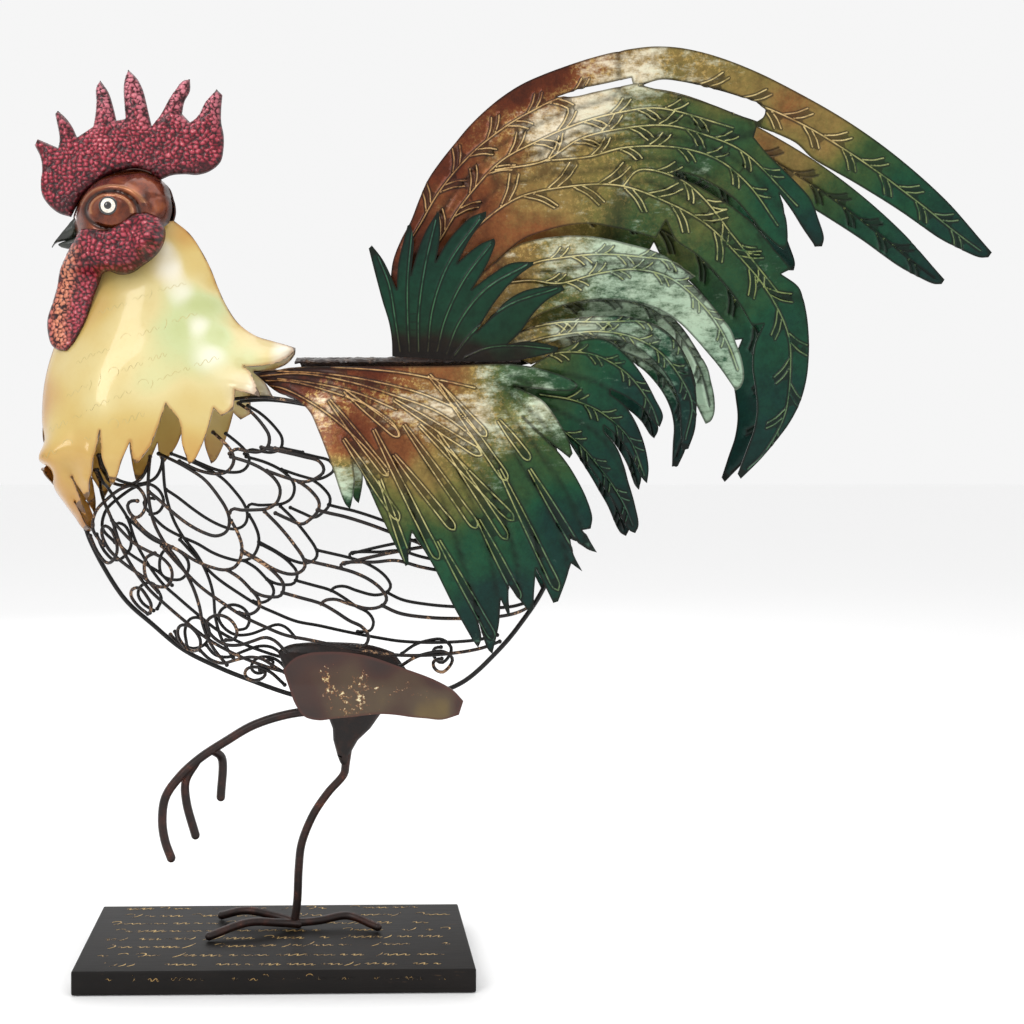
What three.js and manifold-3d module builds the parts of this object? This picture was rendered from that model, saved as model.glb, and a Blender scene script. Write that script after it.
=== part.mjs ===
// A standing rooster made of cut, pressed and painted sheet metal, welded to
// a cage of bent wire, on one rod leg over a flat wooden plinth.
// Millimetres, +Z up.  The origin is the middle of the plinth's underside.
// The bird faces -X.  "near" is its -Y side and "far" its +Y side.
import * as THREE from 'three';
import { mergeVertices } from 'three/addons/utils/BufferGeometryUtils.js';
import Module from 'manifold-3d';

const wasm = await Module();
wasm.setup();

// ---------------------------------------------------------------- sizes
const PLINTH = { length: 254, depth: 127, thick: 15, edge: 1 };
const SHEET = 1.2;          // cut sheet metal
const COMB_THICK = 8;       // pillow of pressed metal
const WATTLE_THICK = 4;
const LEG_ROD = 6;          // leg and toe rods, diameter
const KEEL_WIRE = 3;        // hoop under the belly, diameter
const CAGE_WIRE = 2.4;      // wires over the belly, diameter
const GAP = 0.3;            // left between pieces that touch
const BIRD_YAW = THREE.MathUtils.degToRad(-4.2); // the bird stands a little askew
const LEG_FOOT = 10.7;      // where the leg meets the plinth, along X

// ---------------------------------------------------------------- looks
const paint = (color, roughness, metalness) =>
  new THREE.MeshStandardMaterial({ color, roughness, metalness, side: THREE.DoubleSide });
const LOOKS = {
  plinth: paint(0x1c1815, 0.6, 0),
  rod: paint(0x3a211a, 0.5, 0.6),
  wire: paint(0x241b18, 0.5, 0.6),
  tail: paint(0x5f6b3a, 0.4, 0.6),
  tuft: paint(0x12301f, 0.4, 0.5),
  wing: paint(0x4a5a33, 0.4, 0.6),
  back: paint(0x2b1d18, 0.5, 0.6),
  neck: paint(0xe6d49a, 0.3, 0.2),
  head: paint(0x7a3d1c, 0.3, 0.5),
  comb: paint(0x9a2a38, 0.5, 0.3),
  beak: paint(0x1d201c, 0.4, 0.3),
  eye: paint(0xf2efe6, 0.2, 0),
  thigh: paint(0x4b3018, 0.5, 0.6),
};

// ---------------------------------------------------------------- rims
const ease = (t) => THREE.MathUtils.smoothstep(t, 0, 1);
const flatPoint = ([x, z]) => new THREE.Vector2(x, z);

// A rim is a list of runs.  A run of three or more points is a smooth curve
// through them; the runs meet each other at corners.
function drawRim(runs, step) {
  const corners = [];
  for (const run of runs) {
    if (run.length < 3) {
      corners.push(run.map(flatPoint));
      continue;
    }
    const knots = run.map(([x, z]) => new THREE.Vector3(x, z, 0));
    const curve = new THREE.CatmullRomCurve3(knots, false, 'centripetal');
    const count = Math.max(2, Math.round(curve.getLength() / step));
    corners.push(curve.getSpacedPoints(count).map((p) => new THREE.Vector2(p.x, p.y)));
  }
  const rim = [];
  corners.forEach((run, index) => {
    rim.push(...run);
    const from = run.at(-1);
    const to = corners[(index + 1) % corners.length][0];
    const pieces = Math.floor(from.distanceTo(to) / (2 * step));
    for (let i = 1; i <= pieces; i += 1) {
      rim.push(from.clone().lerp(to, i / (pieces + 1)));
    }
  });
  return rim;
}

// ---------------------------------------------------------------- sheets
const area = (a, b, c) => (b.x - a.x) * (c.y - a.y) - (b.y - a.y) * (c.x - a.x);

// True where d lies inside the circle through a, b and c.
function inCircle(a, b, c, d) {
  const rows = [a, b, c].map((p) => {
    const x = p.x - d.x;
    const y = p.y - d.y;
    return [x, y, x * x + y * y];
  });
  const [[ax, ay, aw], [bx, by, bw], [cx, cy, cw]] = rows;
  return ax * (by * cw - bw * cy) - ay * (bx * cw - bw * cx) + aw * (bx * cy - by * cx) > 1e-6;
}

// Turns the edges between pairs of triangles until none would be better turned.
function improve(points, triangles) {
  const thin = 1e-3;
  for (let sweep = 0; sweep < 60; sweep += 1) {
    const owner = new Map();
    const busy = new Set();
    let turned = 0;
    triangles.forEach((tri, index) => {
      for (let k = 0; k < 3; k += 1) {
        owner.set(`${tri[k]},${tri[(k + 1) % 3]}`, [index, tri[(k + 2) % 3]]);
      }
    });
    for (const [edge, [one, c]] of owner) {
      const [a, b] = edge.split(',').map(Number);
      const across = owner.get(`${b},${a}`);
      if (a > b || !across || busy.has(one) || busy.has(across[0])) continue;
      const [two, d] = across;
      const [A, B, C, D] = [a, b, c, d].map((i) => points[i]);
      const convex = area(C, A, D) > thin && area(C, D, B) > thin;
      if (!convex || !inCircle(A, B, C, D)) continue;
      triangles[one] = [c, a, d];
      triangles[two] = [c, d, b];
      busy.add(one).add(two);
      turned += 1;
    }
    if (turned === 0) break;
  }
}

// Fills a rim with well-shaped triangles about `spacing` across.
function fillRim(rim, holes, spacing) {
  const points = [rim, ...holes].flat();
  const triangles = THREE.ShapeUtils.triangulateShape(rim, holes).map(([a, b, c]) =>
    (area(points[a], points[b], points[c]) > 0 ? [a, b, c] : [a, c, b]));
  improve(points, triangles);
  const edge = [...points];
  const box = new THREE.Box2().setFromPoints(rim);
  const rowGap = spacing * Math.sqrt(0.75);
  let row = 0;
  for (let y = box.min.y + rowGap / 2; y < box.max.y; y += rowGap) {
    row += 1;
    for (let x = box.min.x + (row % 2 ? 0 : spacing / 2); x < box.max.x; x += spacing) {
      const p = new THREE.Vector2(x, y);
      const clear = edge.every((q) => q.distanceTo(p) > 0.6 * spacing);
      const host = clear ? triangles.findIndex(([a, b, c]) =>
        area(points[a], points[b], p) > 1 && area(points[b], points[c], p) > 1
        && area(points[c], points[a], p) > 1) : -1;
      if (host < 0) continue;
      const [a, b, c] = triangles[host];
      const n = points.push(p) - 1;
      triangles[host] = [a, b, n];
      triangles.push([b, c, n], [c, a, n]);
    }
  }
  improve(points, triangles);
  return { points, triangles };
}

// A solid sheet: the filled rim stands `out` from the bird's middle plane, on
// the near side (side -1) or the far side (side +1), and has a thickness.
function sheetGeometry({ runs, holes = [], out, side, step, spacing, thick = SHEET }) {
  const rim = drawRim(runs, step);
  const cuts = holes.map((hole) => drawRim(hole, step));
  const { points, triangles } = fillRim(rim, cuts, spacing);
  const nudge = 0.5;
  const layers = [1, -1].map((face) => points.map(({ x, y: z }) => {
    const slopeX = (out(x + nudge, z) - out(x - nudge, z)) / (2 * nudge);
    const slopeZ = (out(x, z + nudge) - out(x, z - nudge)) / (2 * nudge);
    const normal = new THREE.Vector3(-slopeX, 1, -slopeZ).normalize();
    const p = new THREE.Vector3(x, out(x, z), z).addScaledVector(normal, face * thick / 2);
    return new THREE.Vector3(p.x, side * p.y, p.z);
  }));
  const count = points.length;
  const faces = [];
  const edges = new Set();
  for (const [a, b, c] of triangles) {
    faces.push([a, b, c], [a + count, c + count, b + count]);
    edges.add(`${a},${b}`).add(`${b},${c}`).add(`${c},${a}`);
  }
  for (const edge of edges) {
    const [i, j] = edge.split(',').map(Number);
    if (edges.has(`${j},${i}`)) continue;
    faces.push([j, i, i + count], [j, i + count, j + count]);
  }
  return closedGeometry(layers.flat(), faces);
}

// Joins faces into a body, turned so that they all point outwards.
function closedGeometry(vertices, faces) {
  const volume = faces.reduce((sum, [a, b, c]) =>
    sum + vertices[a].dot(vertices[b].clone().cross(vertices[c])), 0);
  const outward = volume > 0 ? faces : faces.map(([a, b, c]) => [a, c, b]);
  const geometry = new THREE.BufferGeometry();
  const flat = vertices.flatMap((p) => [p.x, p.y, p.z]);
  geometry.setAttribute('position', new THREE.Float32BufferAttribute(flat, 3));
  geometry.setIndex(outward.flat());
  geometry.computeVertexNormals();
  return geometry;
}

// ---------------------------------------------------------------- rods
const circleShape = (diameter, sides) => {
  const shape = new THREE.Shape();
  for (let i = 0; i < sides; i += 1) {
    const turn = (2 * Math.PI * i) / sides;
    const point = [Math.cos(turn) * diameter / 2, Math.sin(turn) * diameter / 2];
    if (i === 0) shape.moveTo(...point);
    else shape.lineTo(...point);
  }
  shape.closePath();
  return shape;
};

function rodGeometry(points, diameter, steps, sides) {
  const route = new THREE.CatmullRomCurve3(points.map((p) => new THREE.Vector3(...p)), false,
    'centripetal');
  return new THREE.ExtrudeGeometry(circleShape(diameter, sides),
    { steps, extrudePath: route, bevelEnabled: false });
}

// ---------------------------------------------------------------- welding
function toSolid(geometry) {
  const bare = geometry.clone();
  bare.deleteAttribute('normal');
  bare.deleteAttribute('uv');
  const merged = mergeVertices(bare, 1e-3);
  return new wasm.Manifold(new wasm.Mesh({
    numProp: 3,
    vertProperties: new Float32Array(merged.attributes.position.array),
    triVerts: new Uint32Array(merged.index.array),
  }));
}

function fromSolid(solid) {
  const mesh = solid.getMesh();
  const geometry = new THREE.BufferGeometry();
  geometry.setAttribute('position', new THREE.BufferAttribute(mesh.vertProperties, 3));
  geometry.setIndex(new THREE.BufferAttribute(mesh.triVerts, 1));
  return geometry;
}

const weld = (geometries) => fromSolid(geometries.map(toSolid).reduce((a, b) => a.add(b)));

// ---------------------------------------------------------------- the model
const sculpture = new THREE.Group();
const bird = new THREE.Group();
bird.position.x = LEG_FOOT;
bird.rotation.z = BIRD_YAW;
sculpture.add(bird);

function place(parent, name, geometry, material) {
  const mesh = new THREE.Mesh(geometry, material);
  mesh.name = name;
  parent.add(mesh);
}

// The same sheet on both sides of the bird, the far one mirrored.  Bent by hand,
// the far one may hang a little lower and further back: `droop` turns it about
// its root in radians and `back` moves it along the bird.
function placePair(name, sheet, material, { droop = 0, back = 0, root = [0, 0] } = {}) {
  const bend = ([x, z]) => {
    const p = new THREE.Vector2(x, z).rotateAround(new THREE.Vector2(...root), -droop);
    return [p.x + back, p.y];
  };
  const bent = {
    ...sheet,
    runs: sheet.runs.map((run) => run.map(bend)),
    holes: (sheet.holes ?? []).map((hole) => hole.map((run) => run.map(bend))),
  };
  place(bird, `${name}_near`, sheetGeometry({ ...sheet, side: -1 }), material);
  place(bird, `${name}_far`, sheetGeometry({ ...bent, side: 1 }), material);
}

// Plinth: a board with its edges eased.
{
  const { length, depth, thick, edge } = PLINTH;
  const shape = new THREE.Shape();
  const [halfX, halfY] = [length / 2 - edge, depth / 2 - edge];
  shape.moveTo(-halfX, -halfY);
  shape.lineTo(halfX, -halfY);
  shape.lineTo(halfX, halfY);
  shape.lineTo(-halfX, halfY);
  shape.closePath();
  const board = new THREE.ExtrudeGeometry(shape, {
    depth: thick - 2 * edge, bevelEnabled: true, bevelThickness: edge, bevelSize: edge,
    bevelSegments: 1,
  });
  board.translate(0, 0, edge);
  place(sculpture, 'plinth', board, LOOKS.plinth);
}

// Each height below is how far a sheet stands from the middle plane.
const distanceTo = (line, x, z) => {
  const p = new THREE.Vector3(x, z, 0);
  const near = new THREE.Vector3();
  let least = Infinity;
  for (let i = 1; i < line.length; i += 1) {
    new THREE.Line3(line[i - 1], line[i]).closestPointToPoint(p, true, near);
    least = Math.min(least, near.distanceTo(p));
  }
  return least;
};
const profileLine = (run) => new THREE.CatmullRomCurve3(
  run.map(([x, z]) => new THREE.Vector3(x, z, 0)), false, 'centripetal').getSpacedPoints(40);
const dome = (t) => 1 - (1 - Math.min(1, t)) ** 2.2;

// Tail: four pairs of plates.  The pairs splay apart upwards and backwards, are
// dished along a ring round the curl of the tail, and are stacked in layers.
const CURL = { x: 200, z: 420, radius: 118, halfWidth: 60, dish: 5 };
const TAIL_ROOT = { x: 120, z: 400, out: 20.8, splayBack: 0.058, splayUp: 0.09 };
function tailOut(x, z) {
  const across = (Math.hypot(x - CURL.x, z - CURL.z) - CURL.radius) / CURL.halfWidth;
  const dish = Math.abs(across) < 1 ? CURL.dish * Math.cos((across * Math.PI) / 2) ** 2 : 0;
  const splay = TAIL_ROOT.splayBack * (x - TAIL_ROOT.x) + TAIL_ROOT.splayUp * (z - TAIL_ROOT.z);
  return TAIL_ROOT.out + splay + dish;
}
const tailLayer = (rise) => (x, z) => tailOut(x, z) + rise;

const MAIN_PLATE = [
  [[72, 407], [66, 452], [69, 469], [79, 489], [90, 515], [105, 535], [122, 554], [146, 572],
    [173, 583], [206, 592], [235, 595], [260, 591], [290, 580], [321, 564], [351, 546], [381, 524],
    [412, 496], [433, 472]],
  [[440, 464], [438, 461]],
  [[433, 461], [412, 471], [382, 492], [352, 511], [330, 524], [318, 535], [306, 540], [296, 544]],
  [[294, 537], [302, 527], [315, 514], [329, 499], [334, 487], [338, 474]],
  [[337, 469], [333, 469]],
  [[325, 480], [318, 491], [310, 502]],
  [[313, 492], [315, 481], [315, 470]],
  [[313, 467], [310, 469]],
  [[300, 478], [282, 499], [269, 508], [257, 514], [245, 517]],
  [[245, 514], [257, 509], [269, 502], [292, 486], [303, 473], [318, 455]],
  [[312, 452], [322, 445], [327, 432], [330, 410], [329, 385], [323, 365], [312, 348], [299, 332],
    [292, 325]],
  [[290, 323], [288, 326]],
  [[293, 341], [298, 357], [299, 373], [296, 391], [297, 408], [302, 421]],
  [[295, 420], [287, 434], [275, 450], [262, 464], [248, 474], [241, 487]],
  [[235, 476], [215, 482], [193, 486], [174, 484], [148, 475], [136, 463], [121, 445], [112, 407]],
];
const MAIN_SLITS = [
  [[[171, 565], [183, 569], [198, 572], [218, 576]], [[219, 572], [198, 568], [183, 565]]],
  [[[224, 571], [228, 574], [248, 573], [272, 567], [290, 561]], [[297, 558], [301, 554]],
    [[300, 550], [296, 547]], [[281, 553], [260, 561], [238, 567]]],
];
const MIDDLE_PLATE = [
  [[106, 419], [120, 449], [134, 463], [148, 473], [165, 477], [190, 478], [215, 473], [237, 466],
    [259, 451]],
  [[255, 449], [265, 439], [274, 428], [282, 417]],
  [[285, 409], [289, 397], [290, 387]],
  [[288, 381], [285, 379]],
  [[275, 394], [261, 411], [249, 423], [234, 432], [212, 437], [193, 437], [174, 433], [156, 425],
    [137, 409], [117, 405]],
];
const INNER_PLATE = [
  [[136, 406], [149, 417], [165, 423], [187, 426], [212, 427], [230, 423], [244, 415], [255, 399],
    [260, 384], [261, 368], [260, 354]],
  [[256, 342], [252, 341]],
  [[251, 357], [250, 371], [245, 384], [237, 395], [226, 405], [215, 411], [199, 414], [181, 414],
    [165, 409], [149, 401]],
];
const LOWER_PLATE = [
  [[149, 390], [165, 401], [182, 409], [199, 413], [213, 405], [224, 393], [233, 378], [240, 363]],
  [[238, 356], [235, 358]],
  [[228, 367], [219, 374], [207, 380]],
  [[207, 377], [217, 369], [224, 357], [229, 343], [231, 329]],
  [[230, 320], [227, 323]],
  [[222, 334], [213, 348], [203, 357]],
  [[203, 354], [212, 341], [219, 319], [224, 300], [225, 293]],
  [[223, 288], [219, 290]],
  [[209, 308], [196, 327], [184, 343], [168, 364], [152, 379]],
];
placePair('tail_main', {
  runs: MAIN_PLATE, holes: MAIN_SLITS, out: tailOut, step: 14, spacing: 34,
}, LOOKS.tail, { droop: 0.016, back: 3, root: [90, 410] });
placePair('tail_middle', {
  runs: MIDDLE_PLATE, out: tailLayer(4), step: 12, spacing: 28,
}, LOOKS.tail, { droop: 0.12, root: [120, 410] });
placePair('tail_inner', {
  runs: INNER_PLATE, out: tailLayer(6), step: 12, spacing: 28,
}, LOOKS.tail, { droop: 0.1, back: 12, root: [140, 405] });
placePair('tail_lower', {
  runs: LOWER_PLATE, out: tailLayer(8), step: 12, spacing: 28,
}, LOOKS.tail, { droop: 0.075, back: 10, root: [150, 390] });

// Tuft: a fan of green blades over the root of the tail.
const TUFT = [
  [[67, 402], [66, 419], [60, 440], [55, 459]],
  [[52, 471], [54, 473]],
  [[61, 464], [70, 445]],
  [[71, 461], [77, 485]],
  [[79, 486], [81, 476], [79, 454]],
  [[84, 470], [90, 484], [96, 493]],
  [[97, 493], [98, 479], [95, 462]],
  [[103, 475], [114, 487], [122, 492], [127, 493]],
  [[127, 490], [117, 476], [109, 461]],
  [[117, 468], [126, 474], [132, 476]],
  [[133, 474], [128, 460], [118, 444]],
  [[130, 453], [142, 460], [152, 462], [157, 461]],
  [[157, 459], [145, 450], [133, 436], [121, 417]],
  [[131, 427], [142, 438], [155, 444], [175, 446]],
  [[177, 443], [161, 433], [152, 420], [141, 409]],
  [[153, 411], [167, 409], [173, 407]],
  [[172, 404], [149, 399], [130, 398], [107, 399], [85, 401]],
];
const TUFT_ROOT = { x: 60, z: 400, out: 27, splayBack: 0.07, splayUp: 0.11 };
const tuftOut = (x, z) => TUFT_ROOT.out + TUFT_ROOT.splayUp * Math.max(0, z - TUFT_ROOT.z)
  + TUFT_ROOT.splayBack * Math.max(0, x - TUFT_ROOT.x);
placePair('tuft', { runs: TUFT, out: tuftOut, step: 12, spacing: 24 }, LOOKS.tuft);

// Wing: one plate with its feathers cut into the rim.
const WING = [
  [[-24, 392], [8, 395], [40, 395], [98, 395], [142, 396], [158, 394], [174, 389]],
  [[184, 384], [185, 381]],
  [[181, 379], [145, 382]],
  [[151, 379], [161, 374], [170, 363], [178, 349]],
  [[181, 339], [179, 336]],
  [[173, 341], [160, 352], [150, 362]],
  [[163, 349], [173, 339], [180, 329], [189, 312], [193, 299]],
  [[192, 292], [187, 291]],
  [[191, 285], [196, 277]],
  [[190, 279], [179, 288]],
  [[181, 277], [187, 265]],
  [[180, 270], [177, 260], [172, 246]],
  [[169, 245], [164, 255], [158, 267]],
  [[157, 253], [156, 241]],
  [[154, 239], [150, 244], [141, 256]],
  [[141, 247], [142, 237]],
  [[141, 236], [136, 247]],
  [[135, 231], [131, 212]],
  [[128, 215], [122, 233]],
  [[124, 222], [122, 216]],
  [[119, 220], [106, 243], [93, 269], [80, 290]],
  [[78, 279], [78, 269]],
  [[76, 268], [69, 282], [58, 305], [47, 329], [42, 336]],
  [[44, 322], [42, 308]],
  [[41, 304], [38, 307]],
  [[30, 329], [20, 354], [10, 371], [-8, 379]],
];
// It leaves the back at `out`, swells below it, curls in again at the tips, and
// tucks in at the shoulder.
const WING_FORM = { out: 34, swell: 18, top: 402, fall: 95, tipFrom: 300, tipCurl: 0.001,
  tuck: 14, shoulderX: 40, shoulder: 60 };
function wingOut(x, z) {
  const { out, swell, top, fall, tipFrom, tipCurl, tuck, shoulderX, shoulder } = WING_FORM;
  const down = THREE.MathUtils.clamp((top - z) / fall, 0, 1);
  return out + swell * Math.sin((down * Math.PI) / 2) - tipCurl * Math.max(0, tipFrom - z) ** 2
    - tuck * ease((shoulderX - x) / shoulder);
}
placePair('wing', { runs: WING, out: wingOut, step: 13, spacing: 30 }, LOOKS.wing);

// Back: a low roof between the wings, from the neck to the tuft.
{
  const [from, to, halfWidth, edgeZ, crown] = [3, 150, 25, 397.5, 5];
  const across = 6;
  const along = 4;
  const vertices = [];
  const faces = [];
  for (const lift of [SHEET, 0]) {
    for (let i = 0; i <= along; i += 1) {
      for (let j = 0; j <= across; j += 1) {
        const t = (2 * j) / across - 1;
        const x = from + ((to - from) * i) / along;
        vertices.push(new THREE.Vector3(x, t * halfWidth, edgeZ + crown * (1 - t * t) + lift));
      }
    }
  }
  const top = (i, j) => i * (across + 1) + j;
  const under = (i, j) => top(i, j) + (along + 1) * (across + 1);
  const quad = (a, b, c, d) => faces.push([a, b, c], [a, c, d]);
  for (let i = 0; i < along; i += 1) {
    for (let j = 0; j < across; j += 1) {
      quad(top(i, j), top(i + 1, j), top(i + 1, j + 1), top(i, j + 1));
      quad(under(i, j + 1), under(i + 1, j + 1), under(i + 1, j), under(i, j));
    }
    quad(under(i, 0), under(i + 1, 0), top(i + 1, 0), top(i, 0));
    quad(top(i, across), top(i + 1, across), under(i + 1, across), under(i, across));
  }
  for (let j = 0; j < across; j += 1) {
    quad(under(0, j + 1), under(0, j), top(0, j), top(0, j + 1));
    quad(under(along, j), under(along, j + 1), top(along, j + 1), top(along, j));
  }
  place(bird, 'back', closedGeometry(vertices, faces), LOOKS.back);
}

// Neck: two pressed half shells that meet along the throat and the nape.
const THROAT = [[-131, 487], [-139, 463], [-151, 436], [-162, 413], [-168, 394], [-171, 372],
  [-170, 348], [-165, 322], [-157, 307], [-148, 295], [-139, 286]];
const NAPE = [[1, 410], [-12, 414], [-25, 418], [-33, 422], [-41, 432], [-48, 443], [-54, 459],
  [-62, 475], [-71, 488], [-81, 496]];
const NECK = [
  THROAT,
  [[-137, 287], [-145, 307]],
  [[-138, 298], [-144, 324]],
  [[-134, 309], [-128, 328], [-121, 354]],
  [[-120, 338], [-115, 320]],
  [[-113, 320], [-108, 331], [-101, 347]],
  [[-100, 338], [-98, 333]],
  [[-96, 333], [-88, 344], [-78, 371]],
  [[-69, 359], [-66, 338], [-63, 332]],
  [[-60, 334], [-53, 348], [-47, 368]],
  [[-42, 363], [-36, 362], [-34, 380]],
  [[-25, 378], [-18, 376]],
  [[-25, 391], [-30, 396]],
  [[-18, 397], [-5, 401], [0, 406]],
  NAPE,
];
const neckProfile = [profileLine(THROAT), profileLine(NAPE)];
// Shallow at the top and deep below, rounded over `reach` from each profile.
const NECK_FORM = { rim: 2.6, top: 490, fall: 130, shallow: 8, swell: 34, reachFrom: 470,
  reach: 44, reachGrowth: 0.13 };
function neckOut(x, z) {
  const { rim, top, fall, shallow, swell, reachFrom } = NECK_FORM;
  const reach = NECK_FORM.reach + NECK_FORM.reachGrowth * Math.max(0, reachFrom - z);
  const depth = shallow + swell * ease((top - z) / fall);
  const inward = Math.min(...neckProfile.map((line) => distanceTo(line, x, z)));
  return rim + depth * dome(inward / reach);
}
placePair('neck', { runs: NECK, out: neckOut, step: 14, spacing: 22 }, LOOKS.neck);

// Head: two pressed half shells, open below where they sit over the neck.
const BROW = [[-148, 490], [-148, 499], [-146, 505], [-142, 513], [-136, 520], [-128, 525],
  [-113, 528], [-100, 528], [-90, 523], [-84, 517], [-81, 506], [-81, 500], [-83, 494]];
const HEAD = [
  BROW,
  [[-85, 486], [-90, 476], [-107, 467], [-125, 467], [-139, 479]],
];
const browLine = profileLine(BROW);
const HEAD_FORM = { rim: 5.5, napeRise: 3, napeX: -100, napeRun: 20, depth: 22, reach: 26 };
const headOut = (x, z) => HEAD_FORM.rim
  + HEAD_FORM.napeRise * ease((x - HEAD_FORM.napeX) / HEAD_FORM.napeRun)
  + HEAD_FORM.depth * dome(distanceTo(browLine, x, z) / HEAD_FORM.reach);
placePair('head', { runs: HEAD, out: headOut, step: 8, spacing: 10 }, LOOKS.head);

// Wattle and ear lobe: one thick hammered plate on each cheek.
const WATTLE = [
  [[-138, 487], [-148, 475], [-156, 458], [-161, 442], [-165, 428], [-162, 414], [-156, 408],
    [-149, 407], [-144, 412], [-137, 426], [-131, 445], [-125, 457]],
  [[-120, 459], [-113, 457], [-105, 458], [-92, 467], [-84, 477], [-83, 486], [-87, 496],
    [-101, 495], [-111, 489], [-120, 485], [-128, 486]],
];
// The wattle lies over the neck below the jaw, and over the head above it.
const CHEEK = { jaw: 450, run: 15, overNeck: 4.4, overHead: 6.2 };
const wattleOut = (x, z) => THREE.MathUtils.lerp(neckOut(x, z) + CHEEK.overNeck,
  Math.max(headOut(x, z), neckOut(x, z)) + CHEEK.overHead, ease((z - CHEEK.jaw) / CHEEK.run));
placePair('wattle', {
  runs: WATTLE, out: wattleOut, step: 9, spacing: 12, thick: WATTLE_THICK,
}, LOOKS.comb);

// Comb: a thick pressed plate with six points.
const COMB = [
  [[-151, 499], [-160, 502], [-170, 512], [-172, 522], [-171, 536], [-176, 548]],
  [[-174, 552], [-160, 546]],
  [[-159, 552], [-162, 569]],
  [[-160, 571], [-152, 563], [-147, 553]],
  [[-136, 560], [-134, 572], [-134, 586]],
  [[-131, 591], [-125, 582], [-120, 564]],
  [[-114, 565], [-115, 589]],
  [[-112, 598], [-104, 589], [-96, 560]],
  [[-89, 569], [-83, 580], [-75, 590]],
  [[-70, 591], [-69, 586], [-74, 575], [-75, 566], [-70, 562]],
  [[-65, 566], [-58, 578], [-52, 584]],
  [[-48, 580], [-49, 564], [-47, 550], [-50, 534], [-62, 527], [-80, 527], [-91, 523]],
  [[-103, 530], [-116, 530], [-130, 524], [-143, 513]],
];
place(bird, 'comb', sheetGeometry({
  runs: COMB, out: () => 0, side: -1, step: 9, spacing: 14, thick: COMB_THICK,
}), LOOKS.comb);

// Rings of points, each an oval across the bird, joined into one solid.
function loftGeometry(rings, sides) {
  const vertices = rings.flatMap(({ centre, halfX, halfY, lean = 0 }) =>
    Array.from({ length: sides }, (_, i) => {
      const turn = (2 * Math.PI * i) / sides;
      const [dx, dy] = [Math.cos(turn) * halfX, Math.sin(turn) * halfY];
      return new THREE.Vector3(centre[0] + dx * Math.cos(lean), centre[1] + dy,
        centre[2] + dx * Math.sin(lean));
    }));
  const faces = [];
  for (let r = 0; r + 1 < rings.length; r += 1) {
    for (let i = 0; i < sides; i += 1) {
      const j = (i + 1) % sides;
      const [a, b, c, d] = [r * sides + i, r * sides + j, (r + 1) * sides + j, (r + 1) * sides + i];
      faces.push([a, b, c], [a, c, d]);
    }
  }
  const last = (rings.length - 1) * sides;
  for (let i = 1; i + 1 < sides; i += 1) {
    faces.push([0, i + 1, i], [last, last + i, last + i + 1]);
  }
  return closedGeometry(vertices, faces);
}

// Beak: rings from the hooked point back to the face.
place(bird, 'beak', loftGeometry([
  { centre: [-164, 0, 478.5], halfX: 1, halfY: 0.9, lean: 1.1 },
  { centre: [-160.5, 0, 481.5], halfX: 4.2, halfY: 2.6, lean: 1.1 },
  { centre: [-156, 0, 485], halfX: 8, halfY: 4, lean: 1.15 },
  { centre: [-151.5, 0, 488.5], halfX: 11.5, halfY: 4.8, lean: 1.25 },
  { centre: [-146.5, 0, 490], halfX: 12, halfY: 4.4, lean: 1.4 },
], 10), LOOKS.beak);

// Eyes: a domed bead on each side of the head.
const EYE = { x: -119.5, z: 501.5, radius: 5.2, rim: 1.4, height: 2.2 };
for (const [name, side] of [['near', -1], ['far', 1]]) {
  const bead = new THREE.LatheGeometry([
    new THREE.Vector2(0, 0), new THREE.Vector2(EYE.radius, 0),
    new THREE.Vector2(EYE.radius * 0.8, EYE.rim), new THREE.Vector2(0, EYE.height),
  ], 12);
  if (side < 0) bead.rotateX(Math.PI);
  const seat = headOut(EYE.x, EYE.z) + SHEET / 2 + 2 * GAP;
  bead.translate(EYE.x, side * seat, EYE.z);
  place(bird, `eye_${name}`, bead, LOOKS.eye);
}

// Cage: bent wires that bulge away from the middle plane over the belly.
// The belly is an egg: its section is pointed in front (power 1.55) and boxy
// behind (power 2.4).
const BELLY = { x: 18, z: 295, front: 160, rear: 155, down: 122, up: 105, bulge: 48 };
const BELLY_POWER = { front: 1.55, rear: 2.4, fromX: -60, run: 140 };
function bellyOut(x, z) {
  const { front, rear, fromX, run } = BELLY_POWER;
  const power = THREE.MathUtils.lerp(front, rear, ease((x - fromX) / run));
  const dx = Math.abs(x - BELLY.x) / (x < BELLY.x ? BELLY.front : BELLY.rear);
  const dz = Math.abs(z - BELLY.z) / (z < BELLY.z ? BELLY.down : BELLY.up);
  return BELLY.bulge * Math.sqrt(Math.max(0.004, 1 - dx ** power - dz ** power));
}
const onBelly = (side) => ([x, z]) => [x, side * bellyOut(x, z), z];

// Keel: the hoop in the middle plane from the throat to the root of the tail.
const KEEL = [[-139, 282], [-130, 264], [-114, 240], [-96, 224], [-75, 207], [-53, 196], [-33, 188],
  [8, 175], [58, 172], [92, 178], [114, 187], [136, 207], [151, 225], [168, 252], [177, 285],
  [176, 330], [165, 380]];
place(bird, 'keel_wire', rodGeometry(KEEL.map(([x, z]) => [x, 0, z]), KEEL_WIRE, 40, 6), LOOKS.wire);

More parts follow.
